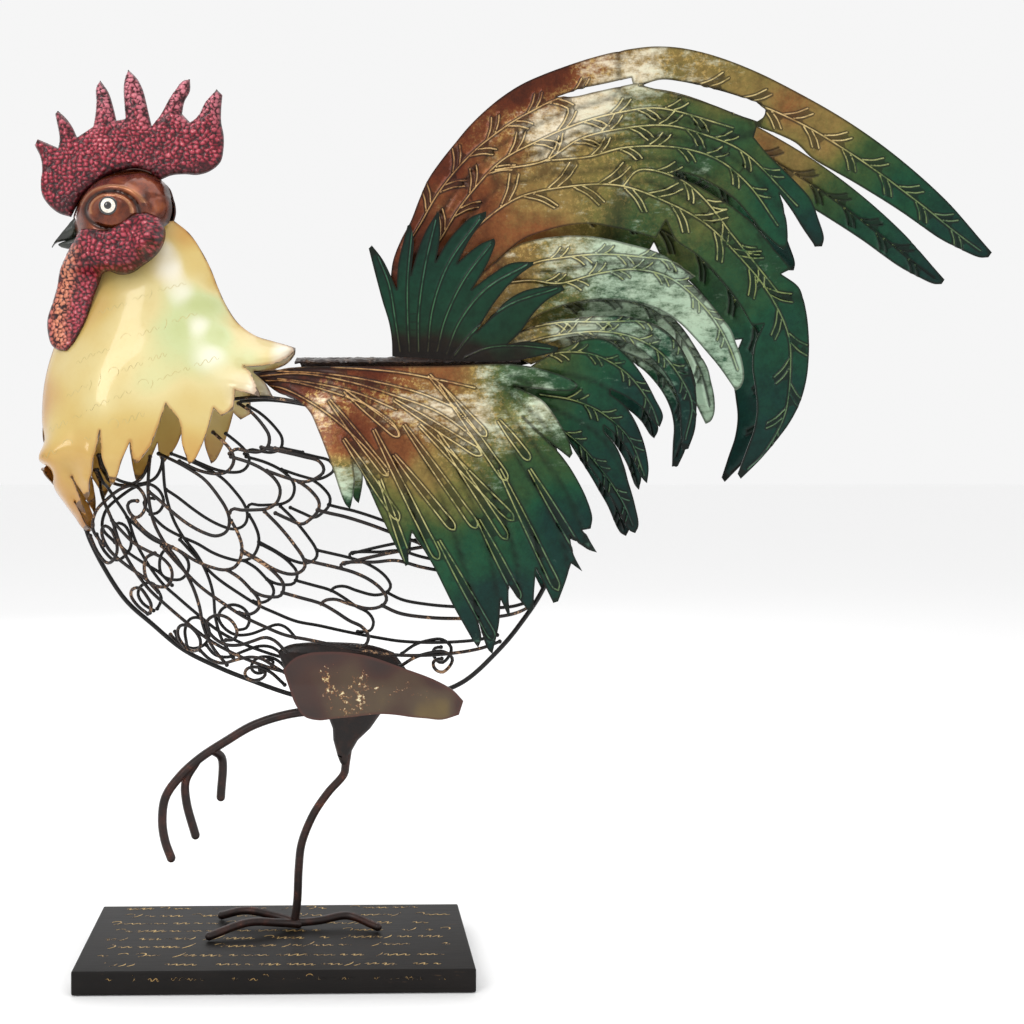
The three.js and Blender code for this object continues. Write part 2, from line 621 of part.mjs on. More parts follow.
// Stringers: the long wires that the feather loops are welded to.  The first
// two run down to the keel and the others cross them.
const STRINGERS = [
  [[-112, 318], [-98, 290], [-84, 262], [-66, 236], [-50, 212], [-36, 195]],
  [[-86, 352], [-84, 310], [-78, 275], [-62, 240], [-42, 208], [-28, 194]],
  [[-98, 314], [-66, 302], [-30, 292], [8, 282], [40, 272]],
  [[-102, 275], [-60, 262], [-28, 252], [6, 240], [40, 232], [90, 224], [140, 228]],
  [[-76, 234], [-40, 224], [0, 208], [40, 200], [90, 199], [128, 210]],
  [[-92, 346], [-60, 338], [-30, 320], [2, 312], [40, 300], [66, 292]],
];
for (const [name, side] of [['near', -1], ['far', 1]]) {
  const wires = STRINGERS.map((wire) => rodGeometry(wire.map(onBelly(side)), CAGE_WIRE, 9, 5));
  place(bird, `cage_${name}`, weld(wires), LOOKS.wire);
}

// Thighs: a dished leaf on the near side; a drumstick tapering to the rod on the far side.
const THIGH_LEAF = [
  [[-3, 200], [6, 208], [25, 211], [50, 209], [73, 202], [93, 195], [106, 188], [113, 180],
    [110, 172]],
  [[99, 168.5], [80, 170], [62, 172], [34, 169], [13, 168], [5, 178]],
];
const THIGH_FORM = { out: 36, dish: 5, middle: 189, half: 22 };
const thighOut = (x, z) => THIGH_FORM.out
  + THIGH_FORM.dish * (1 - ((z - THIGH_FORM.middle) / THIGH_FORM.half) ** 2);
place(bird, 'thigh_near', sheetGeometry({
  runs: THIGH_LEAF, out: thighOut, side: -1, step: 10, spacing: 14,
}), LOOKS.thigh);
place(bird, 'thigh_far', loftGeometry([
  { centre: [34, 14, 128.6], halfX: 3.4, halfY: 3.4 },
  { centre: [32, 14, 136], halfX: 5, halfY: 4.5 },
  { centre: [38, 15, 152], halfX: 13, halfY: 6 },
  { centre: [41, 15, 172], halfX: 24, halfY: 7 },
  { centre: [34, 15, 192], halfX: 42, halfY: 7 },
  { centre: [27, 15, 204], halfX: 40, halfY: 6 },
  { centre: [22, 15, 211], halfX: 26, halfY: 3 },
], 12), LOOKS.thigh);

// Legs: a bent rod each, with the toes welded on.
const deck = PLINTH.thick + LEG_ROD / 2 + GAP;   // middle of a toe lying on the plinth
const legY = 14;
const STANDING_LEG = [
  [[34, legY, 127.6], [33, legY, 121], [22, legY, 108], [12, legY, 93], [4, legY, 73],
    [2, legY, 56], [1, legY, 34], [-1, legY, deck]],
];
const STANDING_TOES = [
  [[2, 15, deck], [-14, 19, deck + 3], [-35, 21, deck + 6], [-53, 28, deck]],
  [[2, 13, deck], [-12, 6, deck + 3], [-30, 0, deck + 5], [-55, -14, deck]],
  [[-4, 14, deck], [16, 15, deck + 2], [35, 20, deck + 4], [56, 10, deck]],
];
place(bird, 'standing_leg', weld([
  ...STANDING_LEG.map((rod) => rodGeometry(rod, LEG_ROD, 16, 8)),
  ...STANDING_TOES.map((rod) => rodGeometry(rod, LEG_ROD, 7, 8)),
]), LOOKS.rod);

const RAISED_Y = -32;
const RAISED_LEG = [[40, RAISED_Y, 172], [6, RAISED_Y, 171], [-22, RAISED_Y, 163],
  [-41, RAISED_Y, 152], [-59, RAISED_Y, 140], [-71, RAISED_Y - 2, 129], [-80, RAISED_Y - 4, 116],
  [-82, RAISED_Y - 5, 101], [-80, RAISED_Y - 6, 88], [-76, RAISED_Y - 6, 77]];
const RAISED_TOES = [
  [[-60, RAISED_Y, 139], [-68, RAISED_Y + 3, 125], [-68, RAISED_Y + 5, 111], [-62, RAISED_Y + 5, 89]],
  [[-50, RAISED_Y, 146], [-45, RAISED_Y + 8, 139], [-46, RAISED_Y + 10, 113]],
];
place(bird, 'raised_leg', weld([
  rodGeometry(RAISED_LEG, LEG_ROD, 16, 8),
  ...RAISED_TOES.map((rod) => rodGeometry(rod, LEG_ROD, 7, 8)),
]), LOOKS.rod);

export default sculpture;
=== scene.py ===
# %% [markdown]
# # A rooster of painted sheet metal and wire
#
# The bird is cut and pressed from thin sheet, painted, lacquered and welded to
# a cage of bent wire.  It stands on one rod leg on a black wooden board.  The
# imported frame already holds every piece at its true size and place.  This
# script gives each piece its pressed relief, its rounded edges and its paint.

import math
import random

import bmesh
import bpy
import numpy as np
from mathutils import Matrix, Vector, geometry, kdtree, noise


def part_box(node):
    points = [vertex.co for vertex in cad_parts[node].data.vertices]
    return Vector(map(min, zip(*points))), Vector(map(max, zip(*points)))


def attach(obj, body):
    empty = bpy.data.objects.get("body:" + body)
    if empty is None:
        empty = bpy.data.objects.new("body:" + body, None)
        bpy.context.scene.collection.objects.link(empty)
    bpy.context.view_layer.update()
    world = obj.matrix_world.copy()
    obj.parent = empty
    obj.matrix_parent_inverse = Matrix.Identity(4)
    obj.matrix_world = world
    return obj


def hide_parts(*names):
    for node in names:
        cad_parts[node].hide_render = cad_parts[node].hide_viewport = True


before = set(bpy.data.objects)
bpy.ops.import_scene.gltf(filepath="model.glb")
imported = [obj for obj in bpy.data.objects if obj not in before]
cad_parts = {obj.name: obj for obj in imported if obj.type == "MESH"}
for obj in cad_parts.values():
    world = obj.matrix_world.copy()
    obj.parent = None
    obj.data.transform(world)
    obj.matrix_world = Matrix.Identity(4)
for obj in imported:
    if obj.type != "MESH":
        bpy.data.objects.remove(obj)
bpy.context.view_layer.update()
bpy.ops.object.select_all(action="DESELECT")
print("CAD nodes:", len(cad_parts))

# %% [markdown]
# The bird stands a little askew on its board, turned about the foot.  Each of
# its plates is easier to describe in the bird's own directions, in
# millimetres: x runs from beak to tail, y from the near side to the far side
# and z up.  Two small functions go from that frame to the world and back.

# %% The bird's own frame
MM = 0.001
YAW = math.radians(4.2)
FOOT_X = 10.7
NEAR, FAR = -1, 1
SIDES = {"near": NEAR, "far": FAR}
turn_cos, turn_sin = math.cos(YAW), math.sin(YAW)


def to_bird(points):
    """World metres to the bird's frame in millimetres."""
    x, y, z = (np.asarray(points, float) / MM).T
    x = x - FOOT_X
    return np.stack([x * turn_cos - y * turn_sin, x * turn_sin + y * turn_cos, z], axis=1)


def to_world(points):
    """The bird's millimetres to world metres."""
    x, y, z = np.asarray(points, float).T
    return np.stack([FOOT_X + x * turn_cos + y * turn_sin, y * turn_cos - x * turn_sin, z], axis=1) * MM


# %% [markdown]
# A plain setting: a wide pale floor, a bright even surround, and large
# soft lamps.  Glossy lacquer is only as good as what it mirrors, so one long
# lamp stands high on the left to draw the bright band down the neck, a wide
# one hangs above, and a low one fills from the right.

# %% Floor, lamps and camera
bpy.ops.mesh.primitive_plane_add(size=30, location=(0, 0, -0.0005))
floor = bpy.context.object
floor.name = "floor"
floor_paint = bpy.data.materials.new("floor_paint")
floor_paint.use_nodes = True
floor_shader = floor_paint.node_tree.nodes["Principled BSDF"]
floor_shader.inputs["Base Color"].default_value = (0.97, 0.97, 0.97, 1)
floor_shader.inputs["Roughness"].default_value = 0.9
floor_shader.inputs["Specular IOR Level"].default_value = 0.1
floor.data.materials.append(floor_paint)

world = bpy.data.worlds.new("surround")
world.use_nodes = True
world.node_tree.nodes["Background"].inputs["Color"].default_value = (1, 1, 1, 1)
world.node_tree.nodes["Background"].inputs["Strength"].default_value = 0.92
bpy.context.scene.world = world
bpy.context.scene.view_settings.view_transform = "Standard"

TARGET = Vector((0.1, 0, 0.33))


def soft_lamp(name, place, size, power):
    """A rectangular lamp that faces the bird."""
    data = bpy.data.lights.new(name, "AREA")
    data.shape = "RECTANGLE"
    data.size, data.size_y = size
    data.energy = power
    lamp = bpy.data.objects.new(name, data)
    lamp.location = place
    lamp.rotation_euler = (TARGET - Vector(place)).to_track_quat("-Z", "Y").to_euler()
    bpy.context.scene.collection.objects.link(lamp)
    return lamp


soft_lamp("key_lamp", (-0.9, -1.3, 1.3), (0.5, 1.2), 9)
soft_lamp("top_lamp", (0.3, 0.1, 1.8), (1.6, 1.2), 8)
soft_lamp("fill_lamp", (1.5, -0.9, 0.6), (0.8, 0.8), 3)
soft_lamp("back_lamp", (-0.4, 1.6, 1.1), (1.2, 0.8), 5)

camera_data = bpy.data.cameras.new("camera")
camera_data.sensor_width = 36
camera_data.lens = 48.74
camera_data.shift_x = 0.15
camera_data.shift_y = -0.0468
camera = bpy.data.objects.new("camera", camera_data)
camera.location = (0.0348, -0.9314, 0.3378)
camera.rotation_euler = (math.radians(90 - 0.355), 0, math.radians(-1.19))
bpy.context.scene.collection.objects.link(camera)
bpy.context.scene.camera = camera

# %% [markdown]
# Every finish below is a small recipe of nodes.  To keep the recipes readable,
# a socket is wrapped in a class whose plus, minus and times add the Math
# nodes, and one method makes any other node.

# %% A small language for shader recipes
class Value:
    """A socket in a node tree.  Arithmetic on it adds Math nodes."""

    def __init__(self, tree, socket):
        self.tree, self.socket = tree, socket

    def math(self, operation, *values):
        inputs = dict(enumerate(values))
        return add_node(self.tree, "ShaderNodeMath", {"operation": operation}, inputs)

    def __add__(self, other):
        return self.math("ADD", self, other)

    def __sub__(self, other):
        return self.math("SUBTRACT", self, other)

    def __rsub__(self, other):
        return self.math("SUBTRACT", other, self)

    def __mul__(self, other):
        return self.math("MULTIPLY", self, other)

    __radd__ = __add__
    __rmul__ = __mul__

    def step(self, low, high):
        """0 below low, 1 above high, and a smooth rise between (or a fall, if low is above high)."""
        return add_node(
            self.tree,
            "ShaderNodeMapRange",
            {"interpolation_type": "SMOOTHSTEP"},
            {"Value": self, "From Min": low, "From Max": high},
        )


def add_node(tree, kind, settings=None, inputs=None, output=0):
    """Any node: its settings first, then the values or links of its sockets."""
    node = tree.nodes.new(kind)
    for name, value in (settings or {}).items():
        if name == "stops":
            ramp = node.color_ramp
            while len(ramp.elements) < len(value):
                ramp.elements.new(0.5)
            for element, (position, colour) in zip(ramp.elements, value):
                element.position = position
                element.color = (*colour, 1)
        else:
            setattr(node, name, value)
    for name, value in (inputs or {}).items():
        if isinstance(value, Value):
            tree.links.new(value.socket, node.inputs[name])
        else:
            node.inputs[name].default_value = value
    return Value(tree, node.outputs[output])


def rgb(code):
    """A colour written as six hex digits, as the linear numbers that shaders use."""
    parts = [int(code[i : i + 2], 16) / 255 for i in (0, 2, 4)]
    return tuple(c / 12.92 if c <= 0.04045 else ((c + 0.055) / 1.055) ** 2.4 for c in parts)


class Finish:
    """One material while it is being mixed."""

    def __init__(self, name):
        self.material = bpy.data.materials.new(name)
        self.material.use_nodes = True
        self.tree = self.material.node_tree
        self.shader = self.tree.nodes["Principled BSDF"]
        self.place = add_node(self.tree, "ShaderNodeTexCoord", output=3)

    def attribute(self, name):
        return add_node(self.tree, "ShaderNodeAttribute", {"attribute_name": name}, output=2)

    def noise(self, size, detail=4, rough=0.55, stretch=None):
        """Cloudy noise whose blotches are about `size` metres across."""
        where = self.place
        if stretch:
            where = add_node(
                self.tree, "ShaderNodeVectorMath", {"operation": "MULTIPLY"}, {0: where, 1: stretch}
            )
        inputs = {"Vector": where, "Scale": 1 / size, "Detail": detail, "Roughness": rough}
        return add_node(self.tree, "ShaderNodeTexNoise", {}, inputs)

    def ramp(self, value, stops):
        return add_node(self.tree, "ShaderNodeValToRGB", {"stops": stops}, {"Fac": value})

    def mix(self, amount, one, other, blend="MIX"):
        """Colour one, turning into the other by amount."""
        one, other = ((*c, 1) if isinstance(c, tuple) else c for c in (one, other))
        return add_node(
            self.tree,
            "ShaderNodeMix",
            {"data_type": "RGBA", "blend_type": blend},
            {0: amount, 6: one, 7: other},
            output=2,
        )

    def bump(self, height, depth, strength=1.0):
        return add_node(
            self.tree, "ShaderNodeBump", {}, {"Height": height, "Distance": depth, "Strength": strength}
        )

    def done(self, **sockets):
        """Fills the shader's sockets; an underscore in a name stands for a space."""
        for name, value in sockets.items():
            socket = self.shader.inputs[name.replace("_", " ")]
            if isinstance(value, Value):
                self.tree.links.new(value.socket, socket)
            else:
                socket.default_value = value
        return self.material


# %% [markdown]
# ## Curves
#
# A few chosen points and a centripetal Catmull-Rom curve give the rims of the
# plates, the pressed veins and the wires.  The curve passes through each
# point and doesn't loop where they are unevenly spaced.

# %% Smooth curves through a few points
def smoothstep(low, high, value):
    """0 at low, 1 at high, and a smooth rise between."""
    share = np.clip((value - low) / (high - low), 0, 1)
    return share * share * (3 - 2 * share)


def ridge(offset, width):
    """1 on a line and falling away smoothly, for relief and shade that follow it."""
    return np.exp(-((offset / width) ** 2))


def spline(points, step):
    """A smooth line through the points, as points about `step` apart."""
    knots = np.asarray(points, float)
    knots = np.vstack([2 * knots[0] - knots[1], knots, 2 * knots[-1] - knots[-2]])
    line = []
    for p0, p1, p2, p3 in zip(knots, knots[1:], knots[2:], knots[3:]):
        gaps = [max(1e-6, np.linalg.norm(b - a)) ** 0.5 for a, b in ((p0, p1), (p1, p2), (p2, p3))]
        t0, t1, t2, t3 = np.cumsum([0, *gaps])
        count = max(1, round(np.linalg.norm(p2 - p1) / step))
        t = np.linspace(t1, t2, count, endpoint=False)[:, None]
        a1 = (t1 - t) / (t1 - t0) * p0 + (t - t0) / (t1 - t0) * p1
        a2 = (t2 - t) / (t2 - t1) * p1 + (t - t1) / (t2 - t1) * p2
        a3 = (t3 - t) / (t3 - t2) * p2 + (t - t2) / (t3 - t2) * p3
        b1 = (t2 - t) / (t2 - t0) * a1 + (t - t0) / (t2 - t0) * a2
        b2 = (t3 - t) / (t3 - t1) * a2 + (t - t1) / (t3 - t1) * a3
        line.append((t2 - t) / (t2 - t1) * b1 + (t - t1) / (t2 - t1) * b2)
    return np.vstack([*line, knots[-2:-1]])


def even(line, gap):
    """The same line with its points `gap` apart."""
    steps = np.linalg.norm(np.diff(line, axis=0), axis=1)
    along = np.concatenate([[0], np.cumsum(steps)])
    count = max(2, round(along[-1] / gap) + 1)
    marks = np.linspace(0, along[-1], count)
    return np.stack([np.interp(marks, along, axis) for axis in line.T], axis=1)


def smooth_rim(points, step, corner=math.radians(46)):
    """A closed rim drawn smooth, with its sharp corners kept."""
    before, after = np.roll(points, 1, axis=0), np.roll(points, -1, axis=0)
    into, out = points - before, after - points
    turn = np.abs(np.arctan2(into[:, 0] * out[:, 1] - into[:, 1] * out[:, 0], (into * out).sum(1)))
    corners = np.flatnonzero(turn > corner)
    if len(corners) == 0:
        corners = np.array([0])
    rim = []
    for start, end in zip(corners, [*corners[1:], corners[0] + len(points)]):
        run = points[np.arange(start, end + 1) % len(points)]
        rim.append(even(spline(run, step / 2), step)[:-1])
    return np.vstack(rim)


# %% [markdown]
# ## Pressed sheets
#
# A plate in the frame is a plain solid: a few hundred flat triangles.  Its
# outward face still says all that matters, the outline and how far the sheet
# stands from the bird's middle plane.  The outline is redrawn smooth.  A thin
# plate spline, the surface that a springy sheet takes when it is pinned at
# those points, gives the height everywhere.  Then the sheet is filled with
# small triangles, closer together along the veins, so that each vein can be
# pressed up as real relief.

# %% Read a plate of the frame
# How far a face may lean and still count as skin: the shells are steep beside their seams.
SKIN_TILT = {"neck": 0.1, "head": 0.15}


def outer_face(node, side):
    """The corners of a plate's outward face in the bird's frame, and its rims as loops of corners."""
    mesh = bmesh.new()
    mesh.from_mesh(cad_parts[node].data)
    bmesh.ops.remove_doubles(mesh, verts=mesh.verts, dist=1e-5)
    mesh.normal_update()
    outward = Vector((side * turn_sin, side * turn_cos, 0))
    corners = to_bird([v.co for v in mesh.verts])
    tilt = SKIN_TILT.get(node.split("_")[0], 0.2)

    def is_skin(face):
        """A wall of the rim has two corners one straight behind the other."""
        ends = [(corners[e.verts[0].index], corners[e.verts[1].index]) for e in face.edges]
        narrow = min(math.hypot(a[0] - b[0], a[2] - b[2]) for a, b in ends)
        return narrow > 0.25 and face.normal.dot(outward) > tilt

    facing = {f for f in mesh.faces if is_skin(f)}
    used = {(c.vert.index, c.link_loop_next.vert.index) for f in facing for c in f.loops}
    following = {a: b for a, b in sorted(used) if (b, a) not in used}
    chosen = sorted({v.index for f in facing for v in f.verts})
    mesh.free()
    loops = []
    while following:
        loop = [next(iter(following))]
        while loop[-1] in following:
            loop.append(following.pop(loop[-1]))
        loops.append(loop[:-1])
    loops.sort(key=len, reverse=True)
    return corners[chosen], [corners[loop] for loop in loops if len(loop) > 3]


class Spring:
    """A thin plate spline: the height of a springy sheet pinned at some points."""

    def __init__(self, places, heights):
        self.pins = places
        size = len(places)
        system = np.zeros((size + 3, size + 3))
        system[:size, :size] = self.bend(places)
        system[:size, size:] = np.column_stack([np.ones(size), places])
        system[size:, :size] = system[:size, size:].T
        self.weights = np.linalg.solve(system, np.concatenate([heights, np.zeros(3)]))

    def bend(self, places):
        squares = ((places[:, None] - self.pins[None]) ** 2).sum(2)
        return squares * np.log(squares + 1e-9)

    def __call__(self, places):
        places = np.asarray(places, float)
        parts = []
        for chunk in np.array_split(places, len(places) // 4000 + 1):
            plane = np.column_stack([np.ones(len(chunk)), chunk])
            parts.append(self.bend(chunk) @ self.weights[:-3] + plane @ self.weights[-3:])
        return np.concatenate(parts)


def plate_height(node, side=NEAR):
    """The springy surface through the outward corners of a plate."""
    corners, _ = outer_face(node, side)
    return Spring(corners[:, [0, 2]], side * corners[:, 1])


def inside(places, loops):
    """True where a place is within the rim and not in a hole."""
    odd = np.zeros(len(places), bool)
    x, z = places.T
    for loop in loops:
        for (x0, z0), (x1, z1) in zip(loop, np.roll(loop, -1, axis=0)):
            if z0 != z1:
                crossing = (z0 > z) != (z1 > z)
                odd ^= crossing & (x < x0 + (z - z0) / (z1 - z0) * (x1 - x0))
    return odd


def distances(places, marks):
    """How far each place is from the nearest mark."""
    tree = kdtree.KDTree(len(marks))
    for index, (x, z) in enumerate(marks):
        tree.insert((x, z, 0), index)
    tree.balance()
    return np.array([tree.find((x, z, 0))[2] for x, z in places])


# %% Cut a plate and mark its veins
VEIN_HALF_WIDTH = 1.1
VEIN_HEIGHT = 0.85
VEIN_STEP = 1.7  # between points along a vein
VALLEY_DEPTH = 1.4
VALLEY_WIDTH = 5
RIB_CLEARANCE = 4


def beside(line, offset):
    """The line moved sideways."""
    run = np.gradient(line, axis=0)
    run /= np.linalg.norm(run, axis=1)[:, None] + 1e-9
    return line + offset * np.stack([-run[:, 1], run[:, 0]], axis=1)


def between(places, ribs):
    """1 where a place is as far from one rib as from the next, falling to 0 beside a rib."""
    reach = np.sort([distances(places, spline(rib, 1.0)) for rib in ribs], axis=0)
    return np.clip(1 - (reach[1] - reach[0]) / VALLEY_WIDTH, 0, 1) * np.clip(reach[0] / RIB_CLEARANCE, 0, 1)


def triangulate(points, rims):
    """Triangles that join the points without crossing a rim, all turned the same way."""
    edges, start = [], 0
    for rim in rims:
        order = np.arange(start, start + len(rim))
        edges += list(zip(order.tolist(), np.roll(order, -1).tolist()))
        start += len(rim)
    net = geometry.delaunay_2d_cdt([Vector(p) for p in points], edges, [], 0, 0.05)
    flat = np.array([tuple(v) for v in net[0]])
    faces = np.array(net[2])
    faces = faces[inside(flat[faces].mean(axis=1), rims)]
    used, faces = np.unique(faces, return_inverse=True)
    flat, faces = flat[used], faces.reshape(-1, 3)
    a, b, c = (flat[faces[:, i]] for i in range(3))
    turned = (b[:, 0] - a[:, 0]) * (c[:, 1] - a[:, 1]) < (b[:, 1] - a[:, 1]) * (c[:, 0] - a[:, 0])
    faces[turned] = faces[turned][:, ::-1]
    return flat, faces


def cut_plate(node, veins, ribs=(), grain=3.0, rim_step=1.6, outline=None):
    """A plate as a flat net of triangles, with each point's distance from the veins and the rim."""
    rims = [outline] if outline is not None else [rim[:, [0, 2]] for rim in outer_face(node, NEAR)[1]]
    rims = [smooth_rim(rim, rim_step) for rim in rims]
    rim_marks = np.vstack(rims)
    lines = [even(spline(vein, 1.0), VEIN_STEP) for vein in veins]
    marks = np.vstack([even(line, 0.35) for line in lines]) if lines else np.full((1, 2), 1e4)

    low, high = rim_marks.min(0), rim_marks.max(0)
    columns = np.arange(low[0], high[0], grain)
    rows = np.arange(low[1], high[1], grain * 0.87)
    grid = np.stack(np.meshgrid(columns, rows), axis=2)
    grid[1::2, :, 0] += grain / 2
    grid = grid.reshape(-1, 2)
    grid = grid[inside(grid, rims)]
    grid = grid[distances(grid, rim_marks) > 0.7 * grain]
    grid = grid[distances(grid, marks) > VEIN_HALF_WIDTH + 0.35 * grain]

    strips = [beside(line, share * VEIN_HALF_WIDTH) for line in lines for share in (-1, -0.5, 0, 0.5, 1)]
    extra = np.vstack([np.zeros((0, 2)), *strips])
    extra = extra[inside(extra, rims)]
    extra = extra[distances(extra, rim_marks) > 0.5 * rim_step]
    flat, faces = triangulate(np.vstack([rim_marks, extra, grid]), rims)
    return {
        "flat": flat,
        "faces": faces,
        "vein": distances(flat, marks),
        "rim": distances(flat, rim_marks),
        "valley": between(flat, ribs) if len(ribs) > 1 else np.zeros(len(flat)),
    }


# %% [markdown]
# A plate is bent to its height, turned into a mesh, and given the thickness
# of the sheet with Solidify.  The near and the far plate are cut from one
# pattern.  The far one hangs a little lower, as in the frame, so its pattern
# is turned about its root before its height is read.

# %% Bend a plate and give it thickness
SHEET = 1.0


def hang(places, droop=0.0, back=0.0, root=(0, 0)):
    """The pattern turned about its root by `droop` radians, and moved back along the bird."""
    x, z = (places - root).T
    cos, sin = math.cos(droop), math.sin(droop)
    return np.stack([x * cos + z * sin, z * cos - x * sin], axis=1) + root + (back, 0)


def select_only(piece):
    bpy.ops.object.select_all(action="DESELECT")
    piece.select_set(True)
    bpy.context.view_layer.objects.active = piece


def fresh_object(name, points, faces):
    """A new object with a mesh of these world points and faces, selected and active."""
    mesh = bpy.data.meshes.new(name)
    mesh.from_pydata(points.tolist(), [], [list(map(int, face)) for face in faces])
    piece = bpy.data.objects.new(name, mesh)
    bpy.context.scene.collection.objects.link(piece)
    select_only(piece)
    return piece


def thicken(piece, thickness, inside_paint=0):
    """Depth inwards from the skin; the inner side takes the paint `inside_paint` places further on."""
    solid = piece.modifiers.new("thickness", "SOLIDIFY")
    solid.thickness = thickness
    solid.offset = -1
    solid.material_offset = inside_paint
    bpy.ops.object.modifier_apply(modifier="thickness")


def write_attribute(piece, name, values):
    attribute = piece.data.attributes.new(name, "FLOAT", "POINT")
    attribute.data.foreach_set("value", np.asarray(values, np.float32))


def finish_piece(piece, materials, replaces=(), smooth=50):
    """Shade it, paint it, hang it on the frame, and hide the frame pieces it replaces."""
    select_only(piece)
    bpy.ops.object.shade_smooth_by_angle(angle=math.radians(smooth))
    for paint in materials:
        piece.data.materials.append(paint)
    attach(piece, "root")
    if replaces:
        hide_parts(*replaces)
    return piece


def bend_plate(name, node, side, pattern, height, adjust, thick, surface, bend):
    """A pattern laid on the springy surface of a CAD plate, with its veins pressed out."""
    flat = hang(pattern["flat"], **bend)
    out = (surface or plate_height(node, side))(flat)
    if adjust:
        out = adjust(out, pattern)
    shape = np.clip(pattern["vein"] / VEIN_HALF_WIDTH, 0, 1)
    out = out + height * np.cos(shape * math.pi / 2) ** 2 - VALLEY_DEPTH * pattern["valley"] ** 2
    points = to_world(np.stack([flat[:, 0], side * out, flat[:, 1]], axis=1))
    faces = pattern["faces"] if side == NEAR else pattern["faces"][:, ::-1]
    piece = fresh_object(name, points, faces)
    for key in ("vein", "rim", "valley", "tone", "pearl", "bump", "low"):
        if key in pattern:
            write_attribute(piece, key, pattern[key])
    thicken(piece, thick * MM, inside_paint=1)
    return piece


def press(
    plate,
    suffix,
    paints,
    pattern,
    sides=SIDES,
    height=VEIN_HEIGHT,
    adjust=None,
    thick=SHEET,
    surface=None,
    far_bend=None,
    smooth=50,
):
    """One pattern pressed, painted and hung on each side of the bird."""
    for word, side in sides.items():
        node = f"{plate}_{word}"
        bend = far_bend if far_bend and side == FAR else {}
        piece = bend_plate(f"{node}_{suffix}", node, side, pattern, height, adjust, thick, surface, bend)
        finish_piece(piece, paints, [node], smooth)
        print(piece.name, len(piece.data.polygons), "faces")


# %% [markdown]
# ## Paint on the plates
#
# The feathers were sprayed by hand: rust brown at the root, ochre and olive
# further out, then green and teal, with patches of pearl that are partly pearl
# paint and partly a painted highlight.  Where each tone sits is a handful of
# spots on the plate, blended by distance.  The shader turns the tone into a
# colour, breaks its edges up with noise, rubs gold onto the veins with a painted
# highlight, and paints shade into the grooves beside them and into the valleys
# between the feathers.

# %% Blend spots of paint over a plate
def spray(pattern, spots, softness=9.0):
    """Give each point a tone and an amount of pearl paint and painted sheen, blended from spots of (x, z,
    tone, pearl and sheen).
    """
    spots = np.array(spots, float)
    squares = ((pattern["flat"][:, None] - spots[None, :, :2]) ** 2).sum(2)
    weights = 1 / (squares + softness**2) ** 1.7
    weights /= weights.sum(1)[:, None]
    pattern["tone"] = weights @ spots[:, 2]
    pattern["pearl"] = weights @ spots[:, 3]
    return pattern


TONES = [
    (0.0, rgb("240c05")),
    (0.1, rgb("5e2810")),
    (0.2, rgb("85502a")),
    (0.3, rgb("8d743f")),
    (0.42, rgb("6c6b35")),
    (0.56, rgb("34502a")),
    (0.7, rgb("16482f")),
    (0.82, rgb("0b322b")),
    (1.0, rgb("041315")),
]
# Colours of the pearl patches, which are partly pearl paint and partly a painted highlight.
PEARL_AND_SHEEN_COLOURS = [(0.0, rgb("d8b888")), (0.3, rgb("ede0c4")), (0.55, rgb("c8d8bc")), (1.0, rgb("4f9079"))]
# Colours on the vein crests: partly rubbed gold, partly a painted highlight.
CRESTS = [
    (0.0, rgb("a8703c")),
    (0.25, rgb("dcbf86")),
    (0.45, rgb("d3c88a")),
    (0.65, rgb("8f9a5c")),
    (0.85, rgb("4c6f52")),
    (1.0, rgb("2a4a44")),
]


